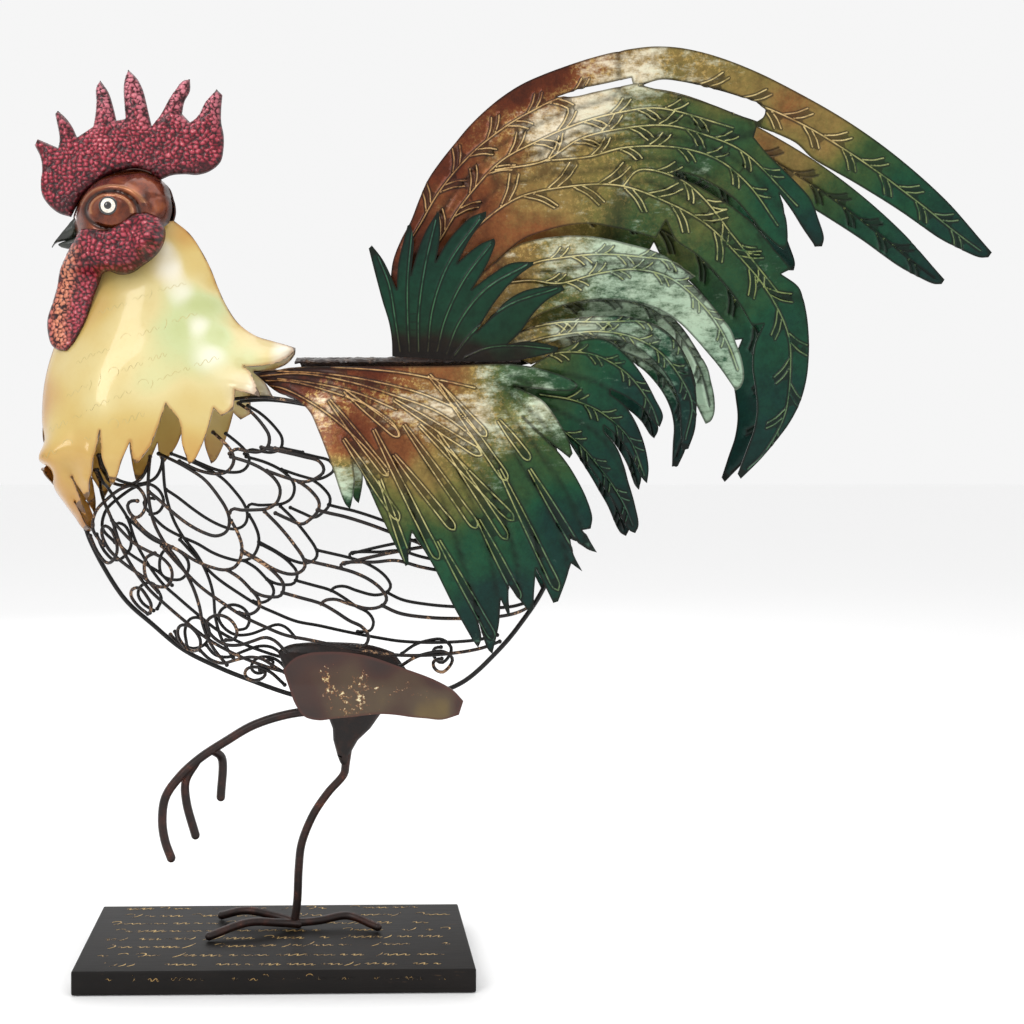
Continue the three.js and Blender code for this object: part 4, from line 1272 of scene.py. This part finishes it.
def pen_ribbons(strokes, fine, broad):
    """Flat ribbons for the strokes: points with a left and a right edge, and their four-sided faces."""
    points, faces = [], []
    for line in strokes:
        line = even(line, max(0.9, fine * 3))
        run = np.gradient(line, axis=0)
        run /= np.linalg.norm(run, axis=1)[:, None] + 1e-9
        across = np.stack([-run[:, 1], run[:, 0]], axis=1)
        taper = np.sin(np.linspace(0.15, math.pi - 0.15, len(line))) ** 0.4
        width = (fine + (broad - fine) * np.abs(run[:, 1]) ** 1.5) * taper / 2
        first = len(points)
        for spot, side, half in zip(line, across, width):
            points += [spot + side * half, spot - side * half]
        for k in range(len(line) - 1):
            a = first + 2 * k
            faces.append([a, a + 1, a + 3, a + 2])
    return np.array(points), faces


def ink(name, points, faces, depth, material):
    """Ribbons given a little depth."""
    piece = fresh_object(name, points, faces)
    thicken(piece, depth)
    return finish_piece(piece, [material])


STROKE_SEED = 7
rng = random.Random(STROKE_SEED)
neck_height = plate_height("neck_near")
neck_rim = smooth_rim(outer_face("neck_near", NEAR)[1][0][:, [0, 2]], 2.0)
NECK_ROWS = [
    ((-128, 430), (-84, 446)),
    ((-140, 396), (-76, 424)),
    ((-146, 374), (-62, 410)),
    ((-160, 352), (-56, 396)),
    ((-162, 334), (-70, 372)),
    ((-158, 312), (-112, 334)),
]
strokes = []
for start, end in NECK_ROWS:
    strokes += pen_strokes(rng, start, end, 8.5)
strokes = [s for s in strokes if inside(s, [neck_rim]).all() and distances(s, neck_rim).min() > 3]
points, faces = pen_ribbons(strokes, fine=0.16, broad=0.42)
for word, side in SIDES.items():
    height = close_seam(neck_height(points)) + 0.06
    lifted = to_world(np.stack([points[:, 0], side * height, points[:, 1]], axis=1))
    ordered = [f if side == NEAR else f[::-1] for f in faces]
    ink(f"neck_{word}_strokes", lifted, ordered, 0.05 * MM, faded_ink)
print("strokes on each side of the neck:", len(strokes))

# %% [markdown]
# ## Head
#
# The head is pressed like the neck, with more relief: a domed socket round
# the eye, a groove and a raised lid round the dome, a brow that follows the
# comb, and a crease at the back of the jaw.  All of it is added to the height
# of the sheet as smooth bumps.

# %% Head shells
SOCKET = np.array([-117.5, 499.0])
SOCKET_RADII = np.array([16.5, 11.5])
SOCKET_TILT = math.radians(-8)
LID_AT, GROOVE_AT, BROW_AT = 0.86, 1.1, 1.42  # rings round the socket, whose rim is 1
JAW_LINE = 490.5


def socket_distance(places):
    """How far out from the middle of the eye socket: 1 at its rim."""
    x, z = (places - SOCKET).T
    along = x * math.cos(SOCKET_TILT) + z * math.sin(SOCKET_TILT)
    up = z * math.cos(SOCKET_TILT) - x * math.sin(SOCKET_TILT)
    return np.hypot(along / SOCKET_RADII[0], up / SOCKET_RADII[1])


def head_relief(places):
    reach = socket_distance(places)
    upper = smoothstep(-4, 4, places[:, 1] - SOCKET[1])
    dome = 3.0 * (1 - smoothstep(0.35, 1.0, reach))
    lid = 1.1 * ridge(reach - LID_AT, 0.07) * (0.35 + 0.65 * upper)
    groove = -1.5 * ridge(reach - GROOVE_AT, 0.1)
    brow = 1.7 * ridge(reach - BROW_AT, 0.17) * upper
    jaw = ridge(places[:, 1] - JAW_LINE, 1.1) * smoothstep(-106, -100, places[:, 0])
    return dome + lid + groove + brow - 1.1 * jaw


def head_heights(heights, pattern):
    calm = smoothstep(0, 4, pattern["rim"])
    return heights - 3.6 * (1 - smoothstep(5.5, 13, heights)) + head_relief(pattern["flat"]) * calm


# The rim is drawn a little past the frame's, up under the comb and forward over the beak.
CROWN_X, CROWN_LIFT, FOREHEAD_REACH = -109, 2.6, 1.6
head_pattern = cut_plate("head_near", [], grain=1.15, rim_step=1.2)
flat = head_pattern["flat"]
crown = smoothstep(512, 527, flat[:, 1]) * ridge(flat[:, 0] - CROWN_X, 17)
forehead = smoothstep(-128, -144, flat[:, 0]) * smoothstep(486, 496, flat[:, 1])
flat[:, 1] += CROWN_LIFT * crown
flat[:, 0] -= FOREHEAD_REACH * forehead
reach = socket_distance(flat)
jaw_shade = ridge(flat[:, 1] - JAW_LINE, 1.4) * (flat[:, 0] > -103)
# The paint follows this relief: painted shade in the groove and the jaw crease, a painted highlight on the
# lid and the brow.
head_pattern["tone"] = ridge(reach - GROOVE_AT, 0.13) + 0.8 * jaw_shade
lid_shine = ridge(reach - LID_AT, 0.09) * (flat[:, 1] > SOCKET[1] - 3)
brow_shine = 0.8 * ridge(reach - BROW_AT, 0.16) * (flat[:, 1] > 503)
head_pattern["pearl"] = np.maximum(lid_shine, brow_shine)
press("head", "shell", [head_paint, shell_inside], head_pattern, adjust=head_heights)

# %% [markdown]
# ## Eyes and beak
#
# An eye is a white bead with a black ring and a black, very glossy pupil.
# The beak is a cone bent into a hook: a circle is extruded ring by ring along
# the beak's middle line, each ring scaled and turned, as one would draw it
# out by hand.  A shorter ring of the same kind makes the lower half.

# %% Eyes
PUPIL = np.array([-118.4, 500.8])
head_height = plate_height("head_near")
eye_seat = float(head_height(PUPIL[None])[0] + head_relief(PUPIL[None])[0])


def bead(name, radius, depth, seat, side):
    """A ball flattened into a bead that faces sideways, sunk to its widest ring at `seat`."""
    bpy.ops.object.select_all(action="DESELECT")
    bpy.ops.mesh.primitive_uv_sphere_add(segments=40, ring_count=20, radius=radius * MM)
    piece = bpy.context.object
    piece.name = piece.data.name = name
    bpy.ops.object.mode_set(mode="EDIT")
    bpy.ops.mesh.select_all(action="SELECT")
    bpy.ops.transform.resize(value=(1, depth / radius, 1))
    bpy.ops.object.mode_set(mode="OBJECT")
    piece.location = to_world([[PUPIL[0], side * seat, PUPIL[1]]])[0]
    bpy.ops.object.transform_apply(location=True, rotation=True, scale=True)
    return piece


# Each bead has a radius, a depth, how far it stands out from the socket, and a paint.
EYE_BEADS = {
    "outline": (6.2, 1.5, -0.1, pupil_paint),
    "white": (5.2, 1.9, 0.1, eye_white_paint),
    "pupil": (2.9, 1.6, 0.95, pupil_paint),
}
for word, side in SIDES.items():
    for part, (radius, depth, proud, paint) in EYE_BEADS.items():
        piece = bead(f"eye_{word}_{part}", radius, depth, eye_seat + proud, side)
        finish_piece(piece, [paint], [f"eye_{word}"])
print("eyes sit", round(eye_seat, 1), "mm out from the middle plane")


# %% Beak
def tapered(name, rings, sides=24):
    """Ovals joined into a closed, rounded solid: rings of (x, y, z, half length, half width, lean)."""
    bpy.ops.object.select_all(action="DESELECT")
    bpy.ops.mesh.primitive_circle_add(vertices=sides, radius=1, fill_type="NGON")
    piece = bpy.context.object
    piece.name = piece.data.name = name
    mesh = bmesh.new()
    mesh.from_mesh(piece.data)
    cap = mesh.faces[:][0]
    loops = [list(cap.verts)]
    for _ in rings[1:]:
        grown = bmesh.ops.extrude_face_region(mesh, geom=[cap])
        cap = next(g for g in grown["geom"] if isinstance(g, bmesh.types.BMFace))
        loops.append(list(cap.verts))
    turns = [2 * math.pi * k / sides for k in range(sides)]
    for loop, (x, y, z, long, wide, lean) in zip(loops, rings):
        ovals = [(math.cos(t) * long, math.sin(t) * wide) for t in turns]
        spots = [(x + a * math.cos(lean), y + b, z + a * math.sin(lean)) for a, b in ovals]
        for vert, spot in zip(loop, to_world(spots)):
            vert.co = spot
    bmesh.ops.recalc_face_normals(mesh, faces=mesh.faces)
    mesh.to_mesh(piece.data)
    mesh.free()
    select_only(piece)
    rounding = piece.modifiers.new("rounding", "SUBSURF")
    rounding.levels = rounding.render_levels = 2
    bpy.ops.object.modifier_apply(modifier="rounding")
    return piece


UPPER_BEAK = [
    (-163.9, 0, 478.6, 0.7, 0.6, 1.0),
    (-162.8, 0, 480.6, 2.4, 1.5, 0.9),
    (-160.6, 0, 483.6, 4.2, 2.6, 0.9),
    (-157.4, 0, 486.8, 6.0, 3.6, 1.0),
    (-153.4, 0, 489.8, 7.8, 4.5, 1.15),
    (-149.0, 0, 492.0, 9.0, 5.2, 1.3),
    (-145.2, 0, 493.0, 9.6, 5.2, 1.4),
]
LOWER_BEAK = [
    (-160.0, 0, 480.6, 0.6, 0.9, 1.2),
    (-157.2, 0, 480.4, 2.0, 2.1, 1.3),
    (-153.2, 0, 480.6, 3.2, 3.1, 1.4),
    (-148.6, 0, 481.4, 4.2, 3.8, 1.5),
    (-145.0, 0, 482.4, 4.8, 4.0, 1.5),
]
for part, rings in (("upper", UPPER_BEAK), ("lower", LOWER_BEAK)):
    piece = tapered(f"beak_{part}", rings)
    finish_piece(piece, [beak_paint], ["beak"], smooth=80)
    print(piece.name, len(piece.data.polygons), "faces")

# %% [markdown]
# ## Comb and wattles
#
# These were pressed over a pebbled die.  Their outline is full and round, like
# a cushion, and their skin is covered in beads two to three millimetres wide
# that stand in rough rows.  Cells of noise place the beads, and each point of
# a fine net is lifted by its place in its cell.  A wattle lies over the neck
# and the head, so its own surface is worked out from theirs.

# %% Pebbled skin
PEBBLE = np.array([3.3, 2.7])
PEBBLE_HEIGHT = 0.95


def pebbles(places, seed):
    """0 between the pebbles and 1 on top of each."""
    rise = []
    for x, z in places / PEBBLE:
        wobble = 0.35 * noise.noise((x * 0.4, z * 0.4, seed))
        near, second = noise.voronoi((x + wobble, z + wobble, seed))[0][:2]
        rise.append(min(1.0, (second - near) / 0.55))
    rise = np.array(rise)
    return rise * (2 - rise)


def cushion(rim_distance, full, reach):
    """A quarter-round rise from the rim to full height."""
    share = np.clip(rim_distance / reach, 0, 1)
    return full * np.sqrt(1 - (1 - share) ** 2)


# %% Comb
comb_cut = cut_plate("comb", [], grain=0.95, rim_step=0.9)
flat = comb_cut["flat"]
bumps = pebbles(flat, 1.5)
on_rim = comb_cut["rim"] < 0.02
beaded = PEBBLE_HEIGHT * (bumps - 0.4) * smoothstep(0.3, 2.0, comb_cut["rim"])
rise = cushion(comb_cut["rim"], 4.0, 7.0) + beaded
rise = np.where(on_rim, 0, np.maximum(rise, 0.25))
near = np.stack([flat[:, 0], -rise, flat[:, 1]], axis=1)
mirror_of = np.where(on_rim, np.arange(len(flat)), len(flat) + np.cumsum(~on_rim) - 1)
far = near[~on_rim] * (1, -1, 1)
faces = np.vstack([comb_cut["faces"], mirror_of[comb_cut["faces"]][:, ::-1]])
comb = fresh_object("comb_pebbled", to_world(np.vstack([near, far])), faces)
tips = smoothstep(545, 590, flat[:, 1]) * smoothstep(9, 3, comb_cut["rim"])
# Painted shade along the comb's foot, where it sits on the head.
foot = spline([(-160, 503), (-146, 513), (-130, 523), (-105, 529), (-84, 526), (-52, 529)], 1.0)
low = smoothstep(8, 2, distances(flat, foot))
for name, values in (("bump", bumps), ("tone", tips), ("rim", comb_cut["rim"]), ("low", low)):
    write_attribute(comb, name, np.concatenate([values, values[~on_rim]]))
finish_piece(comb, [comb_paint], ["comb"], smooth=180)
print(comb.name, len(comb.data.polygons), "faces")


# %% Wattles
WATTLE = [
    (-138, 487), (-148, 475), (-156, 458), (-161, 442), (-165, 428), (-163.5, 417), (-161, 411.5),
    (-156, 408), (-149, 407), (-144, 412), (-137, 426), (-131, 445), (-125, 457), (-120, 459),
    (-113, 457), (-105, 458), (-98, 462), (-91, 468), (-84, 477), (-83, 486), (-87, 495),
    (-94, 497), (-102, 495), (-111, 489), (-120, 485), (-129, 486),
]


def wattle_surface(places):
    """Over the neck below the jaw, over the head above it, and hanging free in front of the throat."""
    neck, head = neck_height(places), head_height(places)
    share = smoothstep(450, 465, places[:, 1])
    over = (neck + 4.4) * (1 - share) + (np.maximum(head, neck) + 6.2) * share
    free = 20 + 0.35 * (over - 20)
    return np.maximum(over, free)


def wattle_heights(heights, pattern):
    puffed = cushion(pattern["rim"], 3.4, 6.5) - 3.4
    return heights + puffed + PEBBLE_HEIGHT * (pattern["bump"] - 0.4) * smoothstep(0.2, 1.5, pattern["rim"])


wattle_pattern = cut_plate("wattle_near", [], grain=0.95, rim_step=0.9, outline=np.array(WATTLE, float))
flat = wattle_pattern["flat"]
wattle_pattern["bump"] = pebbles(flat, 4.5)
lobe_line = spline([(-144, 470), (-152, 450), (-156, 430), (-154, 415)], 1.0)
wattle_pattern["tone"] = ridge(distances(flat, lobe_line), 6)
wattle_pattern["low"] = smoothstep(-140, -90, flat[:, 0]) * smoothstep(474, 462, flat[:, 1])
press(
    "wattle",
    "pebbled",
    [wattle_paint],
    wattle_pattern,
    adjust=wattle_heights,
    thick=1.6,
    surface=wattle_surface,
    smooth=180,
)

# %% [markdown]
# ## Cage
#
# The breast and the belly are drawn in bent wire: scales like feathers, a few
# long stringers and some curls, all lying on one egg shape.  Each wire is
# drawn on the flat and its sideways place is read off the egg.  A curve with
# a bevel gives it its thickness, and a lump of weld closes each end.

# %% The egg and its wires
BELLY = {"x": 18, "z": 295, "front": 160, "rear": 155, "down": 122, "up": 105, "bulge": 48}


def belly_out(x, z):
    """How far the egg stands out from the middle plane."""
    power = 1.55 + 0.85 * float(smoothstep(-60, 80, x))
    across = abs(x - BELLY["x"]) / (BELLY["front"] if x < BELLY["x"] else BELLY["rear"])
    upward = abs(z - BELLY["z"]) / (BELLY["down"] if z < BELLY["z"] else BELLY["up"])
    return BELLY["bulge"] * math.sqrt(max(0.004, 1 - across**power - upward**power))


CAGE_WIRES = [
    [(-34, 372), (-26, 367), (-17, 358), (-12, 350), (-13, 343), (-19, 340), (-28, 341),
     (-34, 342), (-38, 339)],
    [(-50, 353), (-44, 348), (-38, 342), (-35, 336), (-36, 331), (-40, 327), (-47, 326),
     (-58, 328), (-72, 334)],
    [(-37, 337), (-24, 333), (-14, 328), (-7, 322), (-4, 316), (-6, 308), (-12, 304), (-21, 303), (-31, 303)]
    + [(-35, 304), (-37, 301)],
    [(-87, 339), (-75, 334), (-65, 329), (-54, 322), (-45, 312), (-39, 303), (-37, 296),
     (-39, 289), (-46, 286)]
    + [(-54, 288), (-64, 293), (-74, 300), (-85, 309), (-92, 314)],
    [(-36, 296), (-32, 289), (-29, 280), (-30, 272), (-34, 266), (-41, 264), (-51, 266),
     (-61, 270), (-71, 276)]
    + [(-84, 282), (-94, 288), (-103, 297)],
    [(-27, 275), (-16, 269), (-7, 262), (-2, 255), (-4, 248), (-10, 247), (-17, 248), (-23, 251)],
    [(-14, 302), (-4, 292), (5, 281), (11, 272), (12, 267), (8, 263), (2, 262), (-8, 265),
     (-18, 271), (-29, 277)],
    [(-39, 264), (-31, 259), (-24, 252), (-19, 246), (-18, 241), (-21, 237), (-26, 235), (-32, 236)],
    [(-83, 279), (-71, 266), (-58, 253), (-41, 241), (-28, 233), (-17, 228), (-2, 222), (14, 219), (33, 215)]
    + [(56, 211), (72, 209), (98, 209), (124, 212), (137, 216)],
    [(-2, 211), (-9, 218), (-15, 220), (-24, 217), (-33, 214), (-43, 214), (-51, 219), (-55, 226), (-53, 231)]
    + [(-46, 234), (-38, 231), (-34, 224), (-36, 218), (-42, 217)],
    [(-82, 218), (-78, 212), (-69, 207), (-62, 209), (-60, 216), (-63, 222), (-68, 226),
     (-74, 225), (-76, 218)]
    + [(-73, 209)],
    [(-95, 233), (-93, 239), (-96, 245), (-100, 250), (-106, 249), (-108, 244), (-104, 237), (-97, 232)],
    [(-125, 278), (-133, 288), (-131, 300), (-121, 310), (-112, 316), (-103, 318), (-97, 314), (-94, 307)]
    + [(-96, 300), (-101, 297), (-105, 300), (-107, 306), (-104, 308), (-100, 308)],
    [(-132, 338), (-129, 328), (-122, 321), (-110, 318), (-99, 322), (-94, 331), (-93, 337)],
    [(-118, 295), (-111, 288), (-102, 280), (-92, 275), (-83, 271), (-77, 264), (-77, 257),
     (-81, 252), (-88, 252)]
    + [(-94, 255), (-96, 264), (-94, 271), (-88, 274)],
    [(-136, 284), (-131, 273), (-124, 266), (-119, 268), (-115, 275), (-116, 283), (-120, 290), (-125, 291)]
    + [(-126, 285), (-123, 278), (-119, 273), (-107, 264), (-96, 257), (-87, 248)],
    [(8, 321), (15, 316), (21, 308), (20, 302), (15, 297), (10, 294), (2, 297), (-7, 301)],
    [(-17, 343), (-2, 340), (11, 337), (21, 334), (24, 328), (20, 324), (12, 321), (2, 323), (-13, 328)],
    [(20, 303), (28, 301), (37, 299), (53, 294), (69, 288), (85, 282)],
    [(12, 271), (21, 269), (34, 266), (44, 263), (54, 258), (61, 252), (64, 246), (61, 242),
     (53, 240), (40, 243)]
    + [(31, 246), (24, 245), (22, 243)],
    [(35, 266), (35, 269), (44, 270), (56, 270), (70, 271), (85, 267), (104, 263), (123, 258)],
    [(-3, 250), (8, 247), (22, 243), (31, 238), (40, 232), (48, 228), (52, 222), (50, 216), (41, 215)],
    [(61, 242), (72, 237), (91, 234), (110, 233), (130, 233), (147, 235), (158, 239)],
    [(72, 201), (81, 207), (90, 210), (100, 211), (106, 206), (104, 200), (99, 196), (94, 200),
     (94, 205), (99, 206)],
    [(-61, 208), (-55, 202), (-46, 200), (-37, 203), (-26, 206), (-18, 205), (-10, 200), (3, 192)],
    [(-4, 187), (-13, 196), (-21, 199), (-28, 198), (-31, 193), (-27, 189), (-19, 191),
     (-16, 196), (-20, 197)],
    [(37, 269), (53, 273), (72, 277), (91, 280), (117, 281), (143, 276), (163, 263)],
    [(-93, 337), (-93, 318), (-92, 309), (-88, 294), (-81, 281), (-71, 268), (-63, 253),
     (-59, 240), (-57, 226)]
    + [(-52, 212), (-43, 199)],
    [(-134, 328), (-125, 308), (-118, 295), (-112, 278), (-103, 262), (-93, 249), (-83, 240), (-70, 229)]
    + [(-53, 216), (-33, 206), (-13, 199), (7, 194)],
    [(-38, 375), (-20, 376), (4, 373), (30, 366), (52, 356), (74, 342)],
    [(-12, 343), (2, 340)],
]


def bent_rod(name, lines, radius, blob=1.15):
    """Round rods along smooth lines of bird points, with a lump at each end, as one mesh."""
    data = bpy.data.curves.new(name, "CURVE")
    data.dimensions = "3D"
    data.bevel_depth = radius * MM
    data.bevel_resolution = 2
    data.use_fill_caps = True
    ends = []
    for line in lines:
        smooth = to_world(even(spline(line, 1.5), 2.2))
        run = data.splines.new("POLY")
        run.points.add(len(smooth) - 1)
        for point, spot in zip(run.points, smooth):
            point.co = (*spot, 1)
        ends += [smooth[0], smooth[-1]]
    curve = bpy.data.objects.new(name, data)
    bpy.context.scene.collection.objects.link(curve)
    select_only(curve)
    bpy.ops.object.convert(target="MESH")
    piece = bpy.context.object
    lumps = bmesh.new()
    lumps.from_mesh(piece.data)
    for spot in ends:
        made = bmesh.ops.create_icosphere(lumps, subdivisions=2, radius=radius * MM * blob)
        bmesh.ops.translate(lumps, verts=made["verts"], vec=Vector(spot))
    lumps.to_mesh(piece.data)
    lumps.free()
    piece.name = piece.data.name = name
    return piece


WIRE_RADIUS = 1.15
for word, side in SIDES.items():
    lines = []
    for wire in CAGE_WIRES:
        dense = even(spline(wire, 1.5), 3.0)
        lines.append([(x, side * belly_out(x, z), z) for x, z in dense])
    cage = bent_rod(f"cage_{word}_wires", lines, WIRE_RADIUS, blob=1.3)
    # The far wires take the darker copy of the paint as painted shade.
    finish_piece(cage, [wire_paint if side == NEAR else dark_and_shaded_wire_paint], [f"cage_{word}"], smooth=80)
    print(cage.name, len(cage.data.polygons), "faces")

# %% Keel
KEEL = [
    (-141, 288), (-139, 282), (-130, 264), (-114, 240), (-96, 224), (-75, 207), (-53, 196),
    (-33, 188), (8, 175), (58, 172), (92, 178), (114, 187), (136, 207), (151, 225), (168, 252),
    (177, 285), (176, 330), (165, 380),
]
KEEL_RADIUS = 1.6
keel = bent_rod("keel_hoop", [[(x, 0, z) for x, z in KEEL]], KEEL_RADIUS)
finish_piece(keel, [dark_and_shaded_wire_paint], ["keel_wire"], smooth=80)
print(keel.name, len(keel.data.polygons), "faces")

# %% [markdown]
# ## Legs and thighs
#
# Each leg is one bent rod with toes welded on, so the same rod maker serves.
# Its toe ends are cut and filed round.  The near thigh is a dished leaf of
# sheet, the far one a drumstick that tapers into the standing leg.

# %% Legs
DECK = 18.3  # the middle of a toe that rests on the board
RAISED_Y = -32
LEG_RADIUS = 2.9
LEGS = {
    "standing_leg": [
        [(36, 14.5, 140), (34, 14, 127), (33, 14, 121), (22, 14, 108), (12, 14, 93), (4, 14, 73), (2, 14, 56)]
        + [(1, 14, 34), (-1, 14, DECK)],
        [(2, 15, DECK), (-14, 19, DECK + 3), (-35, 21, DECK + 6), (-53, 28, DECK)],
        [(2, 13, DECK), (-12, 6, DECK + 3), (-30, 0, DECK + 5), (-55, -14, DECK)],
        [(-4, 14, DECK), (16, 15, DECK + 2), (35, 20, DECK + 4), (56, 10, DECK)],
    ],
    "raised_leg": [
        [(40, RAISED_Y, 172), (6, RAISED_Y, 171), (-22, RAISED_Y, 163), (-41, RAISED_Y, 152),
         (-59, RAISED_Y, 140)]
        + [(-71, RAISED_Y - 2, 129), (-80, RAISED_Y - 4, 116), (-82, RAISED_Y - 5, 101),
           (-80, RAISED_Y - 6, 88)]
        + [(-76, RAISED_Y - 6, 77)],
        [(-60, RAISED_Y, 139), (-68, RAISED_Y + 3, 125), (-68, RAISED_Y + 5, 111), (-62, RAISED_Y + 5, 89)],
        [(-50, RAISED_Y, 146), (-45, RAISED_Y + 8, 139), (-46, RAISED_Y + 10, 113)],
    ],
}
for node, lines in LEGS.items():
    leg = bent_rod(f"{node}_rods", lines, LEG_RADIUS, blob=1.02)
    finish_piece(leg, [rod_paint], [node], smooth=80)
    print(leg.name, len(leg.data.polygons), "faces")

# %% Thighs
THIGH_SPOTS = [
    (-3, 198, 0.05, 0), (25, 209, 0.1, 0), (60, 205, 0.05, 0), (25, 195, 0.5, 1),
    (40, 190, 0.6, 0.9), (35, 178, 0.6, 0.8), (60, 183, 0.65, 0.75), (55, 176, 0.6, 0.7),
    (75, 190, 0.5, 0.4), (90, 184, 0.7, 0.7), (100, 178, 0.85, 0.4), (88, 172, 0.8, 0.1),
    (10, 185, 0.2, 0), (12, 170, 0.05, 0), (112, 178, 0.1, 0.1), (70, 170, 0.3, 0),
    (95, 194, 0.08, 0),
]
thigh_pattern = spray(cut_plate("thigh_near", [], grain=2.4), THIGH_SPOTS, softness=6)
press("thigh", "leaf", [thigh_paint, shell_inside], thigh_pattern, sides={"near": NEAR}, thick=1.2)
DRUMSTICK = [
    (34, 14, 126.0, 3.0, 3.0, 0),
    (32.5, 14, 134, 4.2, 4.0, 0),
    (34, 14.5, 144, 8.5, 5.0, 0),
    (38, 15, 152, 13, 6, 0),
    (41, 15, 172, 24, 7, 0),
    (34, 15, 192, 42, 7, 0),
    (27, 15, 204, 40, 6, 0),
    (22, 15, 211, 26, 3, 0),
]
drumstick = tapered("thigh_far_drumstick", DRUMSTICK, sides=32)
finish_piece(drumstick, [drumstick_paint], ["thigh_far"], smooth=80)
print(drumstick.name, len(drumstick.data.polygons), "faces")

# %% [markdown]
# ## Back
#
# Between the wings lies a low roof of thin sheet, crinkled and soldered along
# its edges.  A plane is subdivided, arched and roughened by noise, then given
# its thickness.

# %% Crinkled roof of the back
ROOF = {"from": 3, "to": 150, "half_width": 25, "edge": 397.5, "crown": 5}
bpy.ops.object.select_all(action="DESELECT")
bpy.ops.mesh.primitive_grid_add(x_subdivisions=96, y_subdivisions=36, size=2)
roof = bpy.context.object
roof.name = roof.data.name = "back_roof"
shape = np.array([v.co for v in roof.data.vertices])
along = ROOF["from"] + (ROOF["to"] - ROOF["from"]) * (shape[:, 0] + 1) / 2
across = shape[:, 1]
crinkle = np.array([noise.noise((x * 0.22, y * 6, 2.0)) for x, y in zip(along, across)])
fine = np.array([noise.noise((x * 0.7, y * 18, 5.0)) for x, y in zip(along, across)])
solder = ridge(np.abs(across) - 0.95, 0.05)
arch = ROOF["edge"] + 0.7 + ROOF["crown"] * (1 - across**2)
lift = arch + 0.9 * crinkle + 0.5 * fine + solder * (1 + fine)
flat = np.stack([along, across * ROOF["half_width"], lift], axis=1)
roof.data.vertices.foreach_set("co", to_world(flat).astype(np.float32).ravel())
thicken(roof, SHEET * MM)
finish_piece(roof, [back_paint], ["back"], smooth=60)
print(roof.name, len(roof.data.polygons), "faces")

# %% [markdown]
# ## Board
#
# The board is a black block with softened edges and worn corners.  It starts
# as a cube at the board's size, and its edges are bevelled.  Rows of gold pen
# strokes cross its top, and one row runs along its front face.

# %% Board
low_corner, high_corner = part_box("plinth")
bpy.ops.object.select_all(action="DESELECT")
bpy.ops.mesh.primitive_cube_add(size=1)
board = bpy.context.object
board.name = board.data.name = "board"
bpy.ops.object.mode_set(mode="EDIT")
bpy.ops.transform.resize(value=tuple(high_corner - low_corner))
bpy.ops.transform.translate(value=tuple((high_corner + low_corner) / 2))
bpy.ops.mesh.bevel(offset=1.1 * MM, segments=3, affect="EDGES")
bpy.ops.object.mode_set(mode="OBJECT")
finish_piece(board, [board_paint], ["plinth"], smooth=40)
print("board", [round(s / MM) for s in high_corner - low_corner], "mm")

# %% Gold strokes on the board
left, right = low_corner.x / MM + 7, high_corner.x / MM - 7
front, back = low_corner.y / MM, high_corner.y / MM
top = high_corner.z + 0.03 * MM
strokes = []
for row in range(8):
    depth = back - 9 - row * 15.4
    start = (left + rng.uniform(0, 8), depth)
    end = (right - 12, depth + rng.uniform(-3, 3))
    strokes += pen_strokes(rng, start, end, 8.5, 0.9)
margin = [(left, front + 1.2), (right, front + 1.2), (right, back - 2), (left, back - 2)]
strokes = [s for s in strokes if inside(s, [np.array(margin)]).all()]
points, faces = pen_ribbons(strokes, fine=0.35, broad=0.95)
laid = np.column_stack([points * MM, np.full(len(points), top)])
ink("board_top_strokes", laid, [f[::-1] for f in faces], 0.1 * MM, gold_ink)
strokes = pen_strokes(rng, (left, 8.6), (right - 8, 8.6), 5.5, 0.5)
points, faces = pen_ribbons(strokes, fine=0.3, broad=0.7)
face_y = np.full(len(points), low_corner.y - 0.03 * MM)
laid = np.column_stack([points[:, 0] * MM, face_y, points[:, 1] * MM])
ink("board_front_strokes", laid, [f[::-1] for f in faces], 0.1 * MM, worn_ink)
print("strokes on the board:", len(strokes))
